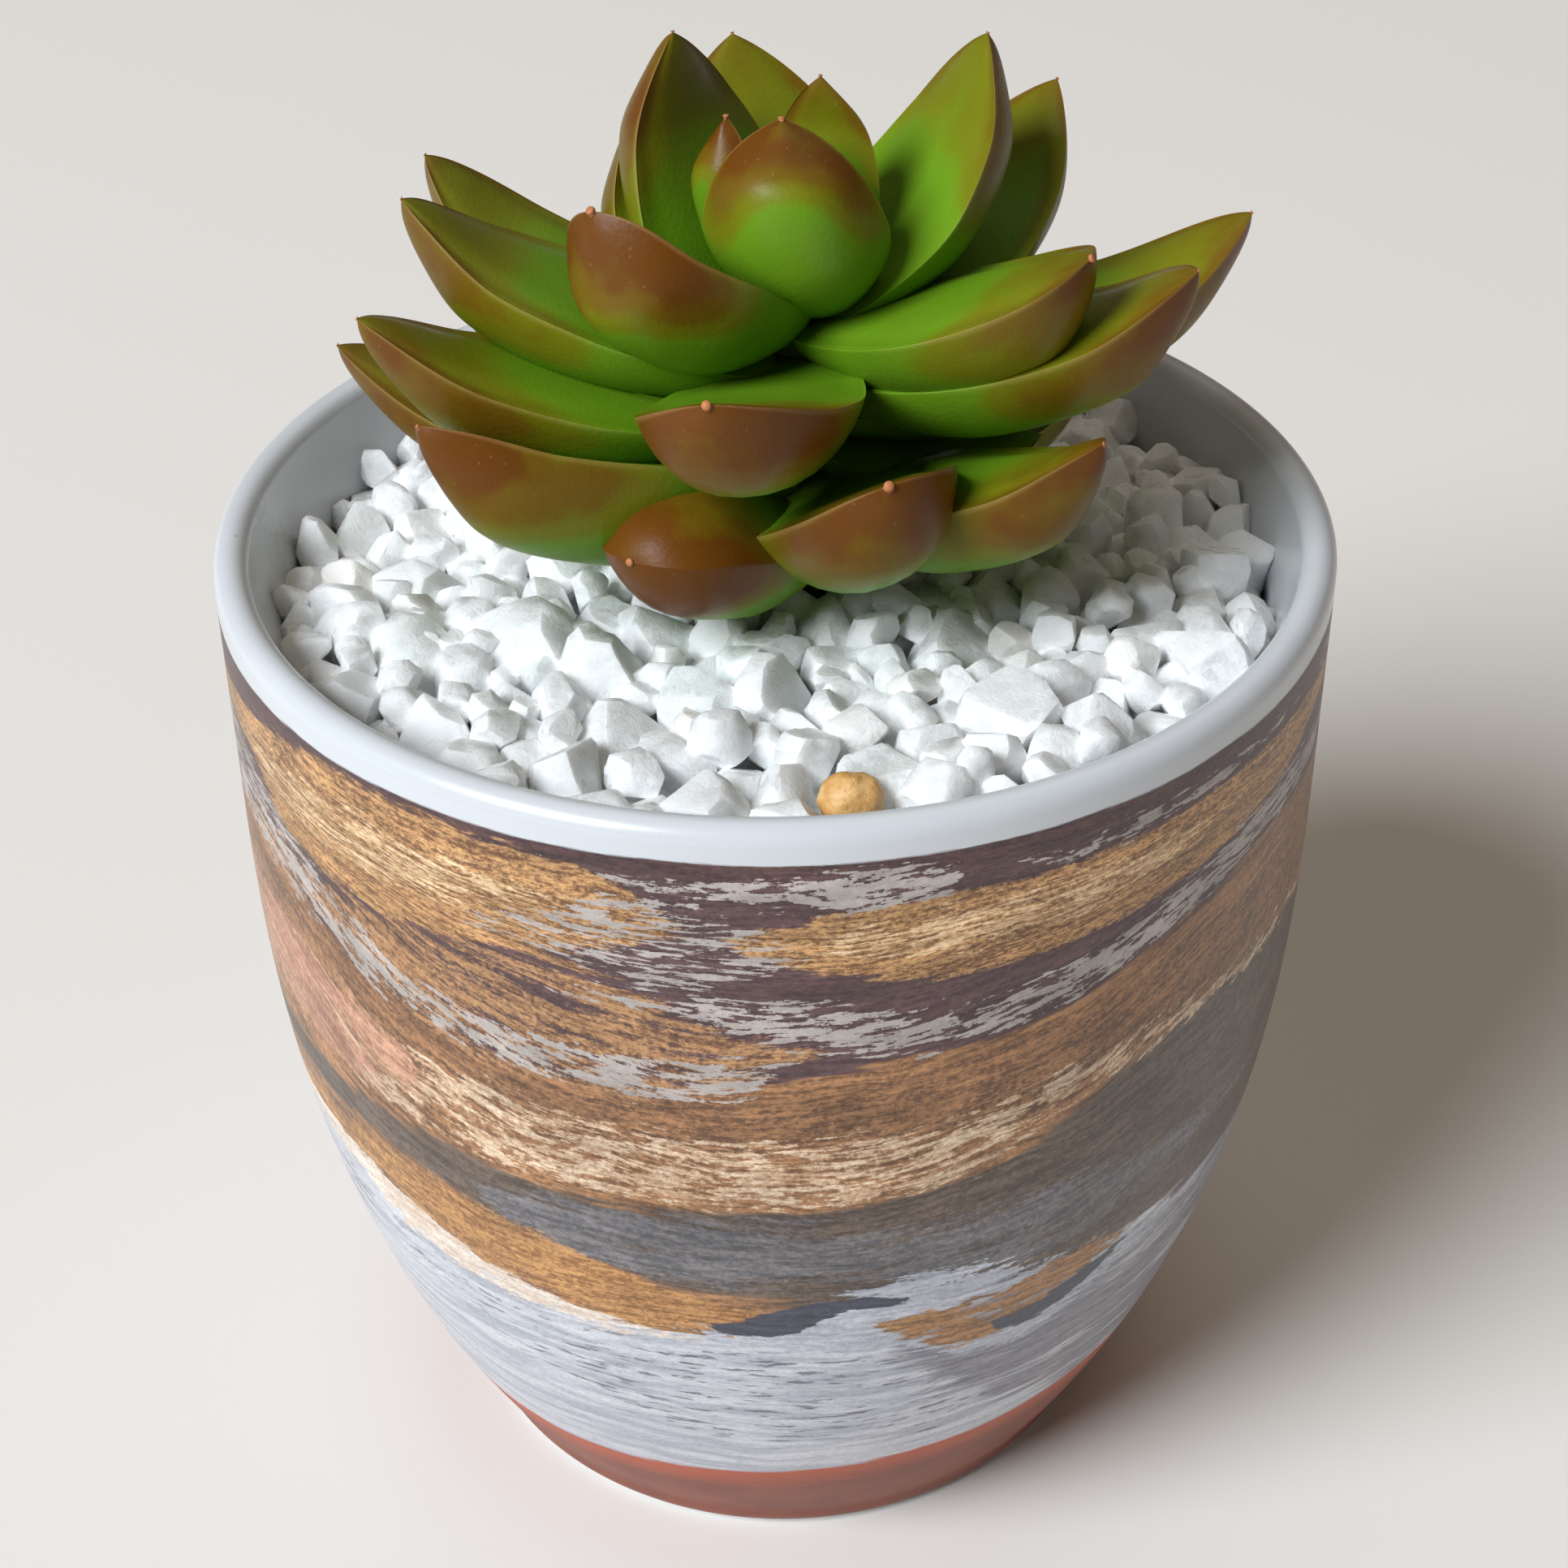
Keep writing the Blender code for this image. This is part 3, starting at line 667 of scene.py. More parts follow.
def make_specks():
    """Small round specks, one in some of the cells, for dust, pores and stray glaze."""
    sheet, start, end = new_mask_group(
        "Specks", {"Place": None, "Scale": 1.0, "Size": 0.1, "Share": 0.3})
    cells = sheet.cells(start["Place"], start["Scale"])
    near = sheet.minus(1.0, sheet.step(cells["Distance"], 0.0, start["Size"]))
    chosen = sheet.maths("LESS_THAN", sheet.drawn_number(cells), start["Share"])
    sheet.feed(end, sheet.times(near, chosen))


def make_brush_band():
    """How much of a paint lies at a height between two lines. It thins out towards both, where
    the brush leaves streaks and specks."""
    sheet, start, end = new_mask_group("Brush Band", {
        "Height": 0.0, "Lower": 0.0, "Upper": 1.0, "Soft": 0.5, "Streaks": 0.5, "Grain": 0.5,
        "Cover": 1.0, "Crisp": 0.5})
    over_lower, over_upper = (
        sheet.step(start["Height"], sheet.minus(start[line], start["Soft"]),
                   sheet.maths("ADD", start[line], start["Soft"]))
        for line in ("Lower", "Upper"))
    band = sheet.maths("SUBTRACT", over_lower, over_upper, clamp=True)
    thick = sheet.times(band, start["Cover"])
    # Thick paint covers nearly all, and thin paint only where the brush's streaks are strong
    bare = sheet.times_plus(thick, -0.56, 0.78)
    brush = sheet.swing(start["Grain"], 0.22, start["Streaks"])
    blur = sheet.times_plus(start["Crisp"], -0.09, 0.10)
    laid = sheet.step(brush, sheet.minus(bare, blur), sheet.maths("ADD", bare, blur))
    sheet.feed(end, sheet.times(laid, sheet.step(thick, 0.02, 0.1)))


def drawn_line(sheet, bearing, points, top=90.0):
    """A height in millimetres that runs round the pot through the (bearing, height) points."""
    turn = sheet.times_plus(bearing, 1 / 360, 0.5)
    node = sheet.add("ShaderNodeFloatCurve", {"Value": turn})
    curve = node.mapping.curves[0]
    closed = [*points, (180, points[0][1])]
    ends = (closed[0], closed[-1])
    for point, (angle, height) in zip(curve.points, ends):
        point.location = (angle / 360 + 0.5, height / top)
    for angle, height in closed[1:-1]:
        curve.points.new(angle / 360 + 0.5, height / top)
    node.mapping.update()
    return sheet.times(node.outputs[0], top)


def glaze_material(pot):
    """Shiny white glaze of the rim and the inside, with a few stray specks."""
    made, sheet, shader = new_material("white glaze")
    place = sheet.millimetres()
    cloud = sheet.mottle(place, scale=0.06, softness=0.2)
    dust = sheet.specks(place, scale=0.14, size=0.06, share=0.3)
    colour = sheet.mix(cloud, pot.glaze, shaded(pot.glaze, 0.95))
    sheet.feed_all(shader, {
        "Base Color": sheet.mix(sheet.times(dust, 0.75), colour, srgb(70, 60, 54)),
        "Roughness": sheet.times_plus(cloud, 0.06, 0.26),
        "Normal": sheet.bump(sheet.noise(place, 0.12, 1.0), strength=0.25, depth=0.5),
        "Coat Weight": 0.12,
        "Coat Roughness": 0.15})
    return made


# Places round the pot, and the noises that streak its paint
Strokes = namedtuple("Strokes", "place bearing z streaks fibres torn grain blotch")


def brush_strokes(sheet):
    """Places and noises for the pattern. The noises are drawn out along the sagging strata."""
    place = sheet.millimetres()
    x, y, z = sheet.add("ShaderNodeSeparateXYZ", {0: place}).outputs
    bearing = sheet.times(sheet.maths("ARCTAN2", x, sheet.times(y, -1.0)), 180 / math.pi)
    rim_level = sheet.times_plus(sheet.step(z, 71.0, 80.0), -0.7, 1.0)
    slack = sheet.times(sheet.step(z, 30.0, 70.0), rim_level)
    level = sheet.minus(z, sheet.times(drawn_line(sheet, bearing, SAG_LINE), slack))
    level = sheet.times_plus(sheet.noise(place, 0.06, 2.0), 3.0, level)
    flow = sheet.add("ShaderNodeCombineXYZ", {0: x, 1: y, 2: level}).outputs[0]
    return Strokes(
        place, bearing, z,
        streaks=sheet.long_noise(flow, (0.075, 0.075, 0.95), 5.0, 0.66),
        fibres=sheet.long_noise(flow, (0.22, 0.22, 2.6), 4.0, 0.7),
        torn=sheet.long_noise(flow, (0.30, 0.30, 1.9), 4.0, 0.64),
        grain=sheet.long_noise(flow, (1.7, 1.7, 3.2), 3.0, 0.8),
        blotch=sheet.long_noise(flow, (0.11, 0.11, 0.42), 4.0, 0.6))


def laid_paint(sheet, strokes, layer):
    """Where one layer of brushwork or flecks lies."""
    return sheet.mask("Brush Band", {
        "Height": strokes.z,
        "Lower": drawn_line(sheet, strokes.bearing, layer.lower),
        "Upper": drawn_line(sheet, strokes.bearing, layer.upper),
        "Soft": layer.soft,
        "Streaks": strokes.torn if layer.crisp > 0.55 else strokes.streaks,
        "Grain": strokes.grain,
        "Cover": layer.cover,
        "Crisp": layer.crisp})


def strata_colour(sheet, pot, strokes):
    """The pale glaze with the brushwork, the flecks, the stray specks and the dust over it."""
    fibres, grain = strokes.fibres, strokes.grain
    colour = sheet.mix(sheet.step(strokes.streaks, 0.36, 0.64), pot.pale, pot.pale_shade)
    veins = sheet.times(sheet.step(fibres, 0.5, 0.72), 0.4)
    colour = sheet.mix(veins, colour, srgb(146, 150, 164))
    for layer in BRUSHWORK:
        tone = sheet.times_plus(grain, layer.grain, fibres)
        middle = 0.5 + 0.5 * layer.grain
        light = sheet.step(tone, middle - TONE_BLUR, middle + TONE_BLUR)
        paint = sheet.mix(light, srgb(*layer.dark), srgb(*layer.light))
        colour = sheet.mix(laid_paint(sheet, strokes, layer), colour, paint)
    ground = sheet.mix(fibres, pot.fleck, shaded(pot.fleck, 0.8))
    for patch in FLECKS:
        colour = sheet.mix(laid_paint(sheet, strokes, patch), colour, ground)
    for share, size, tone in STRAY_SPECKS:
        own_place = sheet.stretched(strokes.place, (1, 1, 1.0 + share))
        dots = sheet.specks(own_place, scale=0.11, size=size, share=share)
        colour = sheet.mix(dots, colour, srgb(*tone))
    shade = sheet.mix(sheet.step(strokes.z, 34.0, 44.0), (1, 1, 1),
                      sheet.swing(strokes.blotch, 1.3, 1.0))
    dust = sheet.times(sheet.swing(grain, 0.9, 1.0), shade)
    return sheet.mix(1.0, colour, dust, "MULTIPLY")


def clay_foot(sheet, pot, strokes):
    """Where the foot is bare, and the colour of its clay."""
    height = sheet.swing(strokes.streaks, 2.2, strokes.z)
    height = sheet.minus(height, drawn_line(sheet, strokes.bearing, FOOT_LINE))
    bare = sheet.minus(1.0, sheet.step(height, -0.3, 0.3))
    cloud = sheet.mottle(strokes.place, scale=0.16, softness=0.25)
    clay = sheet.mix(cloud, pot.clay, shaded(pot.clay, 0.72))
    clay = sheet.mix(sheet.times(sheet.step(height, -4.5, -0.5), 0.8), clay, pot.clay_edge)
    chalk = sheet.times(sheet.step(strokes.fibres, 0.55, 0.7), 0.25)
    return bare, sheet.mix(chalk, clay, srgb(196, 130, 104))


def pattern_material(pot):
    """The brushed pattern round the pot, the clay foot under it and the white edge above it."""
    made, sheet, shader = new_material("brushed pattern")
    strokes = brush_strokes(sheet)
    bare, clay = clay_foot(sheet, pot, strokes)
    height = sheet.swing(strokes.streaks, 0.9, strokes.z)
    white = sheet.step(height, GLAZE_EDGE - 0.12, GLAZE_EDGE + 0.12)
    colour = sheet.mix(bare, strata_colour(sheet, pot, strokes), clay)
    matt = sheet.times_plus(bare, 0.25, sheet.times_plus(strokes.fibres, 0.16, 0.34))
    relief = sheet.times_plus(strokes.fibres, 0.5, sheet.times(strokes.grain, 0.5))
    relief = sheet.times(relief, sheet.times_plus(white, -1.0, 1.0))
    sheet.feed_all(shader, {
        "Base Color": sheet.mix(white, colour, pot.glaze),
        "Roughness": sheet.times(matt, sheet.times_plus(white, -0.6, 1.0)),
        "Normal": sheet.bump(relief, strength=0.22, depth=0.12),
        "Coat Weight": 0.12,
        "Coat Roughness": 0.2})
    return made


def marble_material(gravel):
    """Crushed white marble: sugary grain, a few cream chips, here and there a bright crystal
    face."""
    made, sheet, shader = new_material("white marble")
    place = sheet.millimetres()
    tint = sheet.stored("tint")
    tall = sheet.stretched(place, (1, 1, 1.2))
    crystals = sheet.cells(tall, 1.15)
    # Each crystal's face is a plane through its middle, tilted at random
    tilt = sheet.vectors("SUBTRACT", crystals["Color"], (0.5, 0.5, 0.5))
    offset = sheet.vectors("SUBTRACT", tall, crystals["Position"])
    facet = sheet.vectors("DOT_PRODUCT", tilt, offset, output="Value")
    sugar = sheet.noise(place, 2.6, 4.0, 0.75)
    veil = sheet.mottle(place, scale=0.45, softness=0.2)
    colour = sheet.mix(veil, gravel.marble, shaded(gravel.marble, 0.97))
    colour = sheet.mix(sheet.step(tint, 0.96, 1.0), colour, srgb(246, 242, 234))
    colour = sheet.mix(sheet.step(tint, 0.08, 0.0), colour, srgb(243, 248, 248))
    flash = sheet.step(sheet.drawn_number(crystals), 0.82, 0.86)
    relief = sheet.times_plus(facet, 1.7, sugar)
    sheet.feed_all(shader, {
        "Base Color": colour,
        "Roughness": sheet.times_plus(flash, -0.34, 0.56),
        "Normal": sheet.bump(relief, strength=0.6, depth=0.45),
        "Subsurface Weight": 0.7,
        "Subsurface Radius": (1.0, 0.95, 0.9),
        "Subsurface Scale": 1.4 * MM})
    made.node_tree.nodes["Principled BSDF"].subsurface_method = "BURLEY"
    return made


def pebble_material(gravel):
    """The one ochre pebble: warm and worn, with darker hollows."""
    made, sheet, shader = new_material("ochre pebble")
    place = sheet.millimetres()
    hollow = sheet.mottle(place, scale=0.7, softness=0.15)
    sheet.feed_all(shader, {
        "Base Color": sheet.mix(hollow, gravel.ochre, srgb(206, 152, 86)),
        "Roughness": sheet.times_plus(hollow, 0.15, 0.42),
        "Normal": sheet.bump(sheet.noise(place, 1.4, 4.0, 0.6), strength=0.5, depth=0.4),
        "Subsurface Weight": 0.15,
        "Subsurface Scale": 0.6 * MM})
    return made


def soil_material(gravel):
    """Dark crumbly soil."""
    made, sheet, shader = new_material("soil")
    place = sheet.millimetres()
    crumbs = sheet.cells(place, 0.9)["Distance"]
    bits = sheet.specks(place, scale=0.5, size=0.3, share=0.2)
    colour = sheet.mix(crumbs, gravel.soil, shaded(gravel.soil, 0.4))
    lumps = sheet.times_plus(sheet.noise(place, 1.2, 4.0), 0.7, crumbs)
    sheet.feed_all(shader, {
        "Base Color": sheet.mix(sheet.times(bits, 0.6), colour, srgb(120, 96, 70)),
        "Roughness": sheet.times_plus(crumbs, 0.1, 0.85),
        "Normal": sheet.bump(lumps, strength=0.9, depth=1.0)})
    return made


def bark_material(plant):
    """The stem: dull green brown bark, greener above, with pale scars."""
    made, sheet, shader = new_material("bark")
    place = sheet.millimetres()
    height = sheet.add("ShaderNodeSeparateXYZ", {0: place}).outputs[2]
    scars = sheet.long_noise(place, (0.4, 0.4, 1.4), 3.0)
    colour = sheet.mix(sheet.step(height, 84.0, 100.0), plant.bark, srgb(84, 104, 40))
    pale = sheet.times(sheet.step(scars, 0.5, 0.7), 0.5)
    sheet.feed_all(shader, {
        "Base Color": sheet.mix(pale, colour, srgb(122, 104, 72)),
        "Roughness": sheet.times_plus(scars, 0.2, 0.55),
        "Normal": sheet.bump(scars, strength=0.6, depth=0.5)})
    return made


def sun_blush(sheet, cloud):
    """How far the sun has reddened a leaf: most at the tip, less on the margins and the flanks
    of the underside, least on its keel."""
    along, across, under = (sheet.stored(name) for name in ("along", "across", "under"))
    sun = sheet.times(sheet.step(sheet.times_plus(under, 0.02, along), 0.34, 1.06), 0.86)
    edge = sheet.times(sheet.step(across, 0.55, 1.0), sheet.step(along, 0.10, 0.7))
    sun = sheet.times_plus(edge, 0.30, sun)
    flank = sheet.times(under, sheet.step(along, 0.22, 0.85))
    sun = sheet.times_plus(flank, 0.30, sun)
    keel = sheet.times(under, sheet.step(across, 0.85, 0.1))
    keel = sheet.times(keel, sheet.step(along, 0.97, 0.62))
    sun = sheet.times_plus(keel, -0.52, sun)
    sun = sheet.times(sun, sheet.stored("blush"))
    return sheet.times(sun, sheet.swing(cloud, 1.4, 1.0))


def leaf_material(plant):
    """Waxy skin: green at the foot, then olive, rust and wine as the blush grows."""
    made, sheet, shader = new_material("leaf skin")
    place = sheet.millimetres()
    along, across = sheet.stored("along"), sheet.stored("across")
    cloud = sheet.noise(place, 0.16, 3.0, 0.55)
    sun = sun_blush(sheet, cloud)
    streak = sheet.times(sheet.long_noise(place, (0.5, 0.5, 0.12)), 0.5)
    fresh = sheet.mix(streak, plant.green, shaded(plant.green, 0.72))
    warm = sheet.ramp(sun, ((0.10, plant.green), (0.34, plant.olive), (0.66, plant.rust),
                            (1.0, plant.wine)))
    colour = sheet.mix(sheet.step(sun, 0.04, 0.26), fresh, warm)
    # A thin pale line along each margin: partly the margin's own pale tone, partly painted highlight
    # where light catches the edge
    line = sheet.times(sheet.step(across, 0.985, 0.999), sheet.step(along, 0.25, 0.6))
    colour = sheet.mix(sheet.times(line, 0.16), colour, srgb(206, 168, 112))
    pores = sheet.specks(place, scale=1.1, size=0.16, share=0.35)
    colour = sheet.mix(sheet.times(pores, 0.12), colour, srgb(226, 214, 150))
    wax = sheet.mottle(place, scale=0.3, softness=0.25)
    skin = sheet.times_plus(sheet.noise(place, 2.6, 3.0), 0.5, cloud)
    sheet.feed_all(shader, {
        "Base Color": sheet.mix(sheet.step(along, 0.992, 1.004), colour, plant.bead),
        "Roughness": sheet.times_plus(wax, 0.10, 0.36),
        "Normal": sheet.bump(skin, strength=0.18, depth=0.35),
        "Specular IOR Level": 0.22})
    return made


def floor_material(stage):
    """Matt pale board with the faintest grain."""
    made, sheet, shader = new_material("pale board")
    cloud = sheet.mottle(sheet.millimetres(), scale=0.01, softness=0.4)
    sheet.feed_all(shader, {
        "Base Color": sheet.mix(cloud, stage.floor, shaded(stage.floor, 0.985)),
        "Roughness": sheet.times_plus(cloud, 0.05, 0.7)})
    return made


# Pot


def pot_outside(height, radius):
    return radius - FOOT_TAPER * max(0.0, 1 - height / TAPER_HEIGHT) ** TAPER_POWER


def pot_inside(height, radius, rim):
    thinned = smooth_step(height, rim - LIP / 2 - LIP_DEPTH, rim - LIP / 2)
    return pot_outside(height, radius) - WALL + (WALL - LIP) * thinned


def arc(centre, radius, first, last, steps):
    """Points on a round stretch of the section, from one angle in degrees to another."""
    return [(centre[0] + radius * math.cos(turn), centre[1] + radius * math.sin(turn))
            for turn in np.radians(np.linspace(first, last, steps + 1))]


def pot_profile(radius, rim):
    """(radius, height) from the middle of the bottom, up the outside, over the lip and down."""
    heel = pot_outside(FOOT_CORNER, radius) - FOOT_CORNER
    shoulder = rim - LIP / 2
    floor = FLOOR_LEVEL + FLOOR_CORNER
    edge = pot_inside(floor, radius, rim) - FLOOR_CORNER
    outside = np.linspace(FOOT_CORNER, shoulder, 42)[1:]
    inside = np.linspace(shoulder, floor, 30)[1:]
    return [
        (heel - BASE_INSET, 0.0),
        *arc((heel, FOOT_CORNER), FOOT_CORNER, -90, 0, 6),
        *((pot_outside(height, radius), height) for height in outside),
        *arc((radius - LIP / 2, shoulder), LIP / 2, 0, 180, 16)[1:],
        *((pot_inside(height, radius, rim), height) for height in inside),
        *arc((edge, floor), FLOOR_CORNER, 0, -90, 5)[1:],
        (edge / 2, FLOOR_LEVEL),
    ]


class SUCCULENT_OT_pot(bpy.types.Operator):
    """Turns the pot and glazes it"""

    bl_idname = "succulent.pot"
    bl_label = "Pot"

    def execute(self, context):
        pot = settings("pot")
        radius, rim = pot.radius / MM, pot.height / MM
        body = raised_body("glazed_pot", pot_profile(radius, rim), pot.sides)
        body.data.materials.append(pattern_material(pot))
        body.data.materials.append(glaze_material(pot))
        for face in body.data.polygons:
            x, y, z = face.center / MM
            skin = pot_outside(max(z, FOOT_CORNER), radius) - SKIN
            outside = math.hypot(x, y) > skin or z < UNDERSIDE
            face.material_index = 0 if outside and z < rim - LIP / 2 else 1
        body.data.shade_smooth()
        pick(body)
        bpy.ops.object.shade_smooth_by_angle(angle=math.radians(POT_SMOOTH))
        hand_over(body, "pot", "pot")
        return {"FINISHED"}


# Gravel, pebble and soil


def marble_chip(number):
    """One crushed chip, about two units across: a ball with faces broken off it."""
    draw = np.random.default_rng(100 + number)
    deselect_all()
    bpy.ops.mesh.primitive_ico_sphere_add(subdivisions=2, radius=CHIP_BALL)
    chip = bpy.context.object
    start_edit()
    bpy.ops.transform.vertex_random(
        offset=CHIP_ROUGHNESS, uniform=0.3, normal=0.6, seed=number)
    for _ in range(CHIP_BREAKS):
        normal = Vector(draw.normal(size=3)).normalized()
        bpy.ops.mesh.select_all(action="SELECT")
        bpy.ops.mesh.bisect(
            plane_co=normal * draw.uniform(*BREAK_DEPTH), plane_no=normal, use_fill=True,
            clear_outer=True)
    bpy.ops.mesh.select_all(action="SELECT")
    bpy.ops.mesh.remove_doubles(threshold=CHIP_MERGE)
    stretch = [draw.uniform(*span) for span in CHIP_STRETCH]
    bpy.ops.transform.resize(value=stretch, center_override=(0, 0, 0))
    end_edit()
    return chip


def rest_height(x, y, radius, placed):
    """How high a ball of this radius comes to rest at (x, y) on the soil and the balls there."""
    reach = NESTING * (placed[:, 3] + radius)
    off = (placed[:, 0] - x) ** 2 + (placed[:, 1] - y) ** 2
    near = off < reach ** 2
    resting = SOIL_TOP + SOIL_REST * radius
    if not near.any():
        return resting
    stacked = placed[near, 2] + np.sqrt(reach[near] ** 2 - off[near])
    return max(resting, stacked.max())


def fits(x, y, radius, wall):
    off_stem = math.hypot(x - STEM_AXIS[0], y - STEM_AXIS[1])
    return math.hypot(x, y) < wall - radius and off_stem > STEM_REACH + STEM_GAP * radius


def rolled(x, y, radius, wall, placed, draw):
    """Where a ball dropped at (x, y) ends up when it rolls to the lowest place near it."""
    z = rest_height(x, y, radius, placed)
    for roll in ROLLS:
        for turn in draw.uniform(0, math.tau, ROLL_TRIES):
            next_x, next_y = x + roll * math.cos(turn), y + roll * math.sin(turn)
            if not fits(next_x, next_y, radius, wall):
                continue
            lower = rest_height(next_x, next_y, radius, placed)
            if lower < z:
                x, y, z = next_x, next_y, lower
    return x, y, z


def poured_stones(gravel, wall):
    """Chips dropped one by one round the ochre pebble, until the bed is full."""
    draw = np.random.default_rng(gravel.seed)
    placed = np.array([[*OCHRE_PLACE, OCHRE_SIZE]])
    for number in range(gravel.throws):
        radius = gravel.stone_radius / MM * np.clip(draw.normal(1, gravel.spread), *STONE_LIMITS)
        if number > SMALL_FROM * gravel.throws:
            radius = SMALL_CHIP * radius
        reach, turn = math.sqrt(draw.uniform()) * wall, draw.uniform(0, math.tau)
        x, y = reach * math.cos(turn), reach * math.sin(turn)
        if not fits(x, y, radius, wall):
            continue
        x, y, z = rolled(x, y, radius, wall, placed, draw)
        surface = gravel.top / MM - gravel.slope * y + gravel.lean * x + draw.uniform(*UNEVEN)
        if z + SUNK * radius < surface:
            placed = np.vstack([placed, (x, y, z, radius)])
    return placed[1:]


class SUCCULENT_OT_gravel(bpy.types.Operator):
    """Breaks a few marble chips, copies them and pours them into the pot"""

    bl_idname = "succulent.gravel"
    bl_label = "Gravel"

    def execute(self, context):
        gravel = settings("gravel")
        draw = np.random.default_rng(gravel.seed + 1)
        chips = [marble_chip(number) for number in range(CHIP_KINDS)]
        wall = settings("pot").radius / MM - WALL + WALL_FLARE
        stones = []
        for *place, radius in poured_stones(gravel, wall) * MM:
            stone = own_copy(chips[draw.integers(len(chips))], "stone")
            turn = Euler(draw.uniform(0, math.tau, 3)).to_matrix().to_4x4()
            size = Matrix.Scale(radius * CHIP_SWELL, 4)
            stone.data.transform(Matrix.Translation(place) @ turn @ size)
            paint_points(stone, "tint", np.full(len(stone.data.vertices), draw.uniform()))
            stones.append(stone)
        for chip in chips:
            discard(chip)
        deselect_all()
        for stone in stones:
            stone.select_set(True)
        bpy.context.view_layer.objects.active = stones[0]
        bpy.ops.object.join()
        bed = bpy.context.object
        bed.name = "marble_gravel"
        bed.data.materials.append(marble_material(gravel))
        bpy.ops.object.shade_smooth_by_angle(angle=math.radians(CHIP_SMOOTH))
        hand_over(bed, "gravel", "gravel")
        return {"FINISHED"}


class SUCCULENT_OT_pebble(bpy.types.Operator):
    """Rounds the one ochre pebble at the front"""

    bl_idname = "succulent.pebble"
    bl_label = "Ochre pebble"

    def execute(self, context):
        deselect_all()
        middle = [value * MM for value in OCHRE_PLACE]
        bpy.ops.mesh.primitive_ico_sphere_add(
            subdivisions=4, radius=OCHRE_SIZE * MM, location=middle)
        pebble = bpy.context.object
        pebble.name = "ochre_pebble"
        start_edit()
        bpy.ops.transform.resize(value=OCHRE_STRETCH, center_override=middle)
        bpy.ops.object.mode_set(mode="OBJECT")
        points = points_of(pebble)
        unit = points / np.linalg.norm(points, axis=1, keepdims=True)
        lumps = np.sin(unit @ (5.1, 2.3, -3.7)) + 0.6 * np.sin(unit @ (-7.9, 6.2, 8.8) + 1.0)
        set_points(pebble, points + unit * (OCHRE_LUMPS * MM * lumps)[:, None])
        pebble.data.materials.append(pebble_material(settings("gravel")))
        bpy.ops.object.shade_smooth()
        hand_over(pebble, "ochre_stone", "ochre_stone")
        return {"FINISHED"}


class SUCCULENT_OT_soil(bpy.types.Operator):
    """Gives the soil under the stones its dark crumbly finish"""

    bl_idname = "succulent.soil"
    bl_label = "Soil"

    def execute(self, context):
        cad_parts["soil"].material_slots[0].material = soil_material(settings("gravel"))
        return {"FINISHED"}


# Plant


def stem_profile():
    """(radius, height) up the stem, with a low swelling at every old leaf scar."""
    rings = np.linspace(STEM_HEIGHTS[0], STEM_HEIGHTS[-1], 90)
    swelling = 1 + SCAR_SWELLING * np.sin(rings * math.tau / SCAR_SPACING)
    return list(zip(np.interp(rings, STEM_HEIGHTS, STEM_RADII) * swelling, rings))


class SUCCULENT_OT_stem(bpy.types.Operator):
    """Raises the short stem"""

    bl_idname = "succulent.stem"
    bl_label = "Stem"

    def execute(self, context):
        stem = raised_body("scarred_stem", stem_profile(), STEM_SIDES, STEM_AXIS)
        stem.data.materials.append(bark_material(settings("plant")))
        pick(stem)
        bpy.ops.object.shade_smooth()
        hand_over(stem, "stem", "stem")
        return {"FINISHED"}


def straight_bar(sides, rings):
    """A round bar one unit long with closed ends, its rings closer together towards the tip."""
    marks = [math.sin(0.5 * math.pi * number / rings) for number in range(rings)]
    marks += [1 + mark for mark in BEAD_RINGS]
    deselect_all()
    bpy.ops.mesh.primitive_circle_add(
        vertices=sides, radius=1, fill_type="NGON", rotation=(math.pi / 2, 0, 0))
    bar = bpy.context.object
    bpy.ops.object.transform_apply(location=False, rotation=True, scale=False)
    start_edit()
    for last, mark in zip(marks, marks[1:]):
        step = {"value": (0, mark - last, 0)}
        bpy.ops.mesh.extrude_region_move(TRANSFORM_OT_translate=step)
    bpy.ops.object.mode_set(mode="OBJECT")
    return bar


def leaf_path(leaf, share):
    """Midline point, and the directions across and upward there, at each share of the length."""
    azimuth, rise, twist = np.radians((leaf.azimuth, leaf.rise, leaf.twist))
    curl = math.radians(leaf.curl)
    seat = azimuth if leaf.seat is None else math.radians(leaf.seat)
    outward = np.array((math.cos(azimuth), math.sin(azimuth), 0))
    side = np.array((-math.sin(azimuth), math.cos(azimuth), 0))
    up = np.array((0, 0, 1))
    start = rise - curl / 2
    slope = start + curl * share
    reach = leaf.length * (np.sin(slope) - math.sin(start)) / curl
    climb = leaf.length * (math.cos(start) - np.cos(slope)) / curl
    foot = np.array((STEM_AXIS[0] + LEAF_SEAT * math.cos(seat),
                     STEM_AXIS[1] + LEAF_SEAT * math.sin(seat), leaf.foot))
    normal = np.outer(np.cos(slope), up) - np.outer(np.sin(slope), outward)
    middle = foot + np.outer(reach, outward) + np.outer(climb, up)
    middle = middle + np.outer(leaf.sway * share ** 0.7, side)
    middle = middle + normal * (leaf.hook * (smooth_step(share, 0.7, 1) - share ** 1.5))[:, None]
    across = side * math.cos(twist) + normal * math.sin(twist)
    upward = normal * math.cos(twist) - side * math.sin(twist)
    return middle, across, upward


def swollen(root, blade, fullest):
    """A width that grows from its share at the root to the whole where the leaf is fullest."""
    return root + (1 - root) * np.sin(math.pi / 2 * np.minimum(1, blade / fullest))


def leaf_half_width(leaf, blade):
    half = leaf.width / 2 * swollen(leaf.root, blade, WIDEST)
    return half * (1 - blade ** leaf.blunt) ** leaf.point / 0.9


def leaf_depth(leaf, blade):
    deep = 1.06 * leaf.depth * swollen(ROOT_DEPTH, blade, DEEPEST)
    return deep * (1 - blade ** (leaf.blunt + 0.8)) ** 0.56 / 0.95


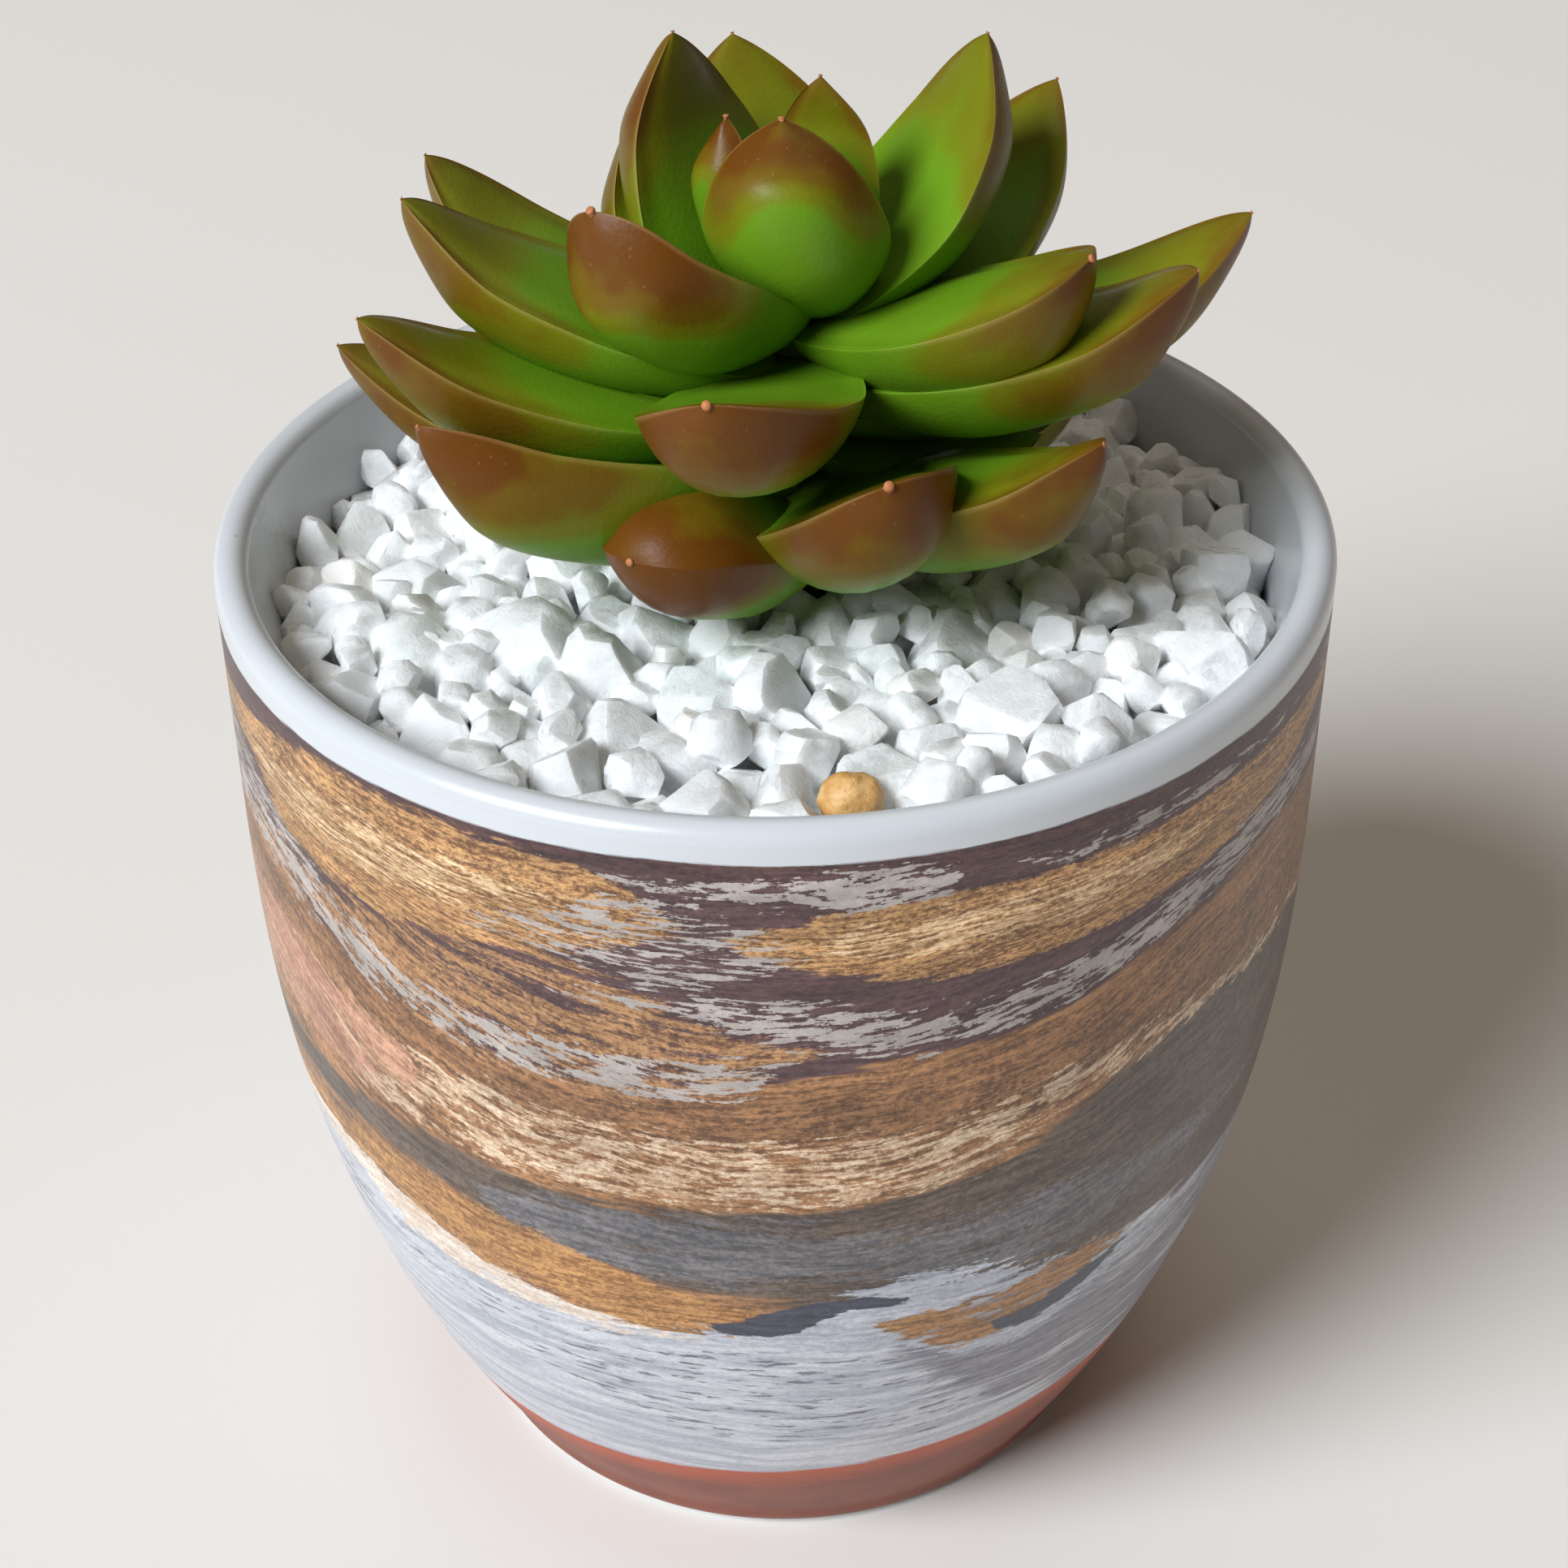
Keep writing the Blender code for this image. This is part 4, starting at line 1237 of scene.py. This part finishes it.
def leaf_unevenness(turn, blade, half, seed):
    """Slow waves of the skin, which die out where the leaf is narrow."""
    phase = np.random.default_rng(seed).uniform(0, math.tau, 4)
    wave = np.sin(9 * blade + phase[0]) * np.cos(2 * turn + phase[1])
    wave = wave + 0.5 * np.sin(19 * blade + phase[2]) * np.cos(3 * turn + phase[3])
    return WAVES * wave * np.minimum(1, half / 3)


def leaf_section(leaf, out, top):
    """Height of the skin over the midline as a share of the depth: a crown with its grooves, or
    the belly. out runs from 0 at the middle to 1 at the margin."""
    groove = GROOVE_DEPTH * np.exp(-((out - GROOVE_PLACE) / GROOVE_WIDTH) ** 2)
    crown = leaf.crown * (1 - out ** 2.4) ** 0.8 - groove
    belly = -BELLY * np.maximum(0, 1 - out ** 2.3) ** 0.75
    return np.where(top, crown, belly)


def leaf_skin(leaf, bar, seed):
    """Where the bar's points lie on this leaf, in millimetres, and what the material reads
    there."""
    turn = np.arctan2(bar[:, 2], bar[:, 0])
    turn = turn - 0.3 * np.sin(2 * turn)      # draws the points together at the margins
    wide, high = np.cos(turn), np.sin(turn)
    out, top = np.abs(wide), high >= 0
    bead_reach = (leaf.bead * 1.1 - BEAD_SET) / leaf.length
    share = np.minimum(bar[:, 1], 1) + np.maximum(bar[:, 1] - 1, 0) * bead_reach / BEAD_RINGS[-1]
    blade = np.clip(share, 0, 1)
    half = leaf_half_width(leaf, blade)
    margin = np.exp(-((1 - out) / MARGIN_WIDTH) ** 2) * np.minimum(1, half / 1.5)
    rise = leaf_depth(leaf, blade) * leaf_section(leaf, out, top)
    rise = rise + leaf_unevenness(turn, blade, half, seed) + MARGIN_RISE * margin * top
    bulge = -np.minimum(0, rise) * smooth_step(blade, 0.72, 0.97) * CHIN
    middle, across, upward = leaf_path(leaf, np.clip(share, 0, None))
    ahead = np.cross(across, upward)
    sideways = half * wide + MARGIN_REACH * margin * np.sign(wide)
    points = middle + across * sideways[:, None] + upward * rise[:, None] - ahead * bulge[:, None]
    # Past the blade the section shrinks into the round bead
    left = leaf.length * (1 - share) + BEAD_SET
    ball = np.sqrt(np.maximum(0, leaf.bead ** 2 - left ** 2))
    round_points = middle + across * (ball * wide)[:, None] + upward * (ball * high)[:, None]
    blend = smooth_step(ball / np.maximum(half, 1e-6), 0.7, 1.3)[:, None]
    return points * (1 - blend) + round_points * blend, {
        "along": np.where(blend[:, 0] > 0.5, 1.01, blade * 0.99),
        "across": out * (1 - 0.2 * max(0, leaf.crown - 0.1)),
        "under": smooth_step(-high, 0.02, 0.35),
        "blush": np.full(len(points), leaf.blush)}


class SUCCULENT_OT_leaves(bpy.types.Operator):
    """Models one straight leaf and bends a copy of it into every place of the rosette"""

    bl_idname = "succulent.leaves"
    bl_label = "Leaves"

    def execute(self, context):
        plant = settings("plant")
        skin = leaf_material(plant)
        bar = straight_bar(plant.leaf_sides, plant.leaf_rings)
        straight = points_of(bar)
        for number, leaf in enumerate(LEAVES, 1):
            piece = own_copy(bar, f"fleshy_leaf_{number:02d}")
            points, painted = leaf_skin(leaf, straight, number)
            set_points(piece, points * MM)
            for name, values in painted.items():
                paint_points(piece, name, values)
            piece.data.materials.append(skin)
            pick(piece)
            start_edit()
            end_edit()
            bpy.ops.object.shade_smooth()
            hand_over(piece, "leaf", f"leaf_{number:02d}")
        discard(bar)
        return {"FINISHED"}


# Stage


def place_in_scene(name, data, place, turn):
    placed = bpy.data.objects.new(name, data)
    placed.location = place
    placed.rotation_euler = turn
    bpy.context.scene.collection.objects.link(placed)
    return placed


def soft_light(name, place, aim, size, power, colour):
    lamp = bpy.data.lights.new(name, "AREA")
    lamp.shape = "DISK"
    lamp.size = size
    lamp.energy = power
    lamp.color = colour
    towards = Vector(aim) - Vector(place)
    place_in_scene(name, lamp, place, towards.to_track_quat("-Z", "Y").to_euler())


def room_light(strength):
    world = bpy.data.worlds.new("room")
    world.use_nodes = True
    bpy.context.scene.world = world
    shader = world.node_tree.nodes["Background"].inputs
    shader["Color"].default_value = (1.0, 0.84, 0.68, 1.0)
    shader["Strength"].default_value = strength


def aimed_camera(focal_length):
    lens = bpy.data.cameras.new("camera")
    lens.sensor_width = SENSOR_WIDTH
    lens.lens = focal_length
    lens.clip_start = 0.01
    turn = [math.radians(angle) for angle in CAMERA_TURN]
    bpy.context.scene.camera = place_in_scene("camera", lens, CAMERA_PLACE, turn)


class SUCCULENT_OT_stage(bpy.types.Operator):
    """Lays the floor and sets the lights and the camera"""

    bl_idname = "succulent.stage"
    bl_label = "Stage"

    def execute(self, context):
        stage = settings("stage")
        deselect_all()
        bpy.ops.mesh.primitive_plane_add(size=FLOOR_WIDTH)
        floor = bpy.context.object
        floor.name = "floor"
        floor.data.materials.append(floor_material(stage))
        soft_light(
            "window", place=(-2.34, -1.96, 2.60), aim=(0, 0, 0.05), size=2.1,
            power=stage.key_power, colour=(0.9, 0.95, 1))
        soft_light(
            "ceiling", place=(0.3, 1.1, 2.3), aim=(0, 0, 0), size=2.4,
            power=stage.ceiling_power, colour=(1, 0.9, 0.78))
        room_light(stage.sky)
        aimed_camera(stage.focal_length)
        bpy.context.scene.view_settings.view_transform = "Standard"
        return {"FINISHED"}


class SUCCULENT_PT_panel(bpy.types.Panel):
    """Lists the pieces in the order in which they are built"""

    bl_idname = "SUCCULENT_PT_panel"
    bl_label = "Potted Succulent"
    bl_space_type = "VIEW_3D"
    bl_region_type = "UI"
    bl_category = "Succulent"

    def draw(self, context):
        for group, operators in PANEL_ROWS:
            box = self.layout.box()
            held = settings(group)
            for name in held.__annotations__:
                box.prop(held, name)
            for operator in operators:
                box.operator(operator.bl_idname)


PANEL_ROWS = (
    ("pot", (SUCCULENT_OT_pot,)),
    ("gravel", (SUCCULENT_OT_soil, SUCCULENT_OT_gravel, SUCCULENT_OT_pebble)),
    ("plant", (SUCCULENT_OT_stem, SUCCULENT_OT_leaves)),
    ("stage", (SUCCULENT_OT_stage,)),
)
SETTINGS = {
    "pot": PotSettings,
    "gravel": GravelSettings,
    "plant": PlantSettings,
    "stage": StageSettings,
}


def operators():
    return [operator for _, row in PANEL_ROWS for operator in row]


def register():
    for name, group in SETTINGS.items():
        bpy.utils.register_class(group)
        setattr(bpy.types.Scene, "succulent_" + name, PointerProperty(type=group))
    for operator in operators():
        bpy.utils.register_class(operator)
    bpy.utils.register_class(SUCCULENT_PT_panel)


def unregister():
    bpy.utils.unregister_class(SUCCULENT_PT_panel)
    for operator in reversed(operators()):
        bpy.utils.unregister_class(operator)
    for name, group in SETTINGS.items():
        delattr(bpy.types.Scene, "succulent_" + name)
        bpy.utils.unregister_class(group)


def main():
    register()
    make_mottle()
    make_specks()
    make_brush_band()
    bpy.ops.succulent.pot()
    bpy.ops.succulent.soil()
    bpy.ops.succulent.gravel()
    bpy.ops.succulent.pebble()
    bpy.ops.succulent.stem()
    bpy.ops.succulent.leaves()
    bpy.ops.succulent.stage()


if __name__ == "__main__":
    main()
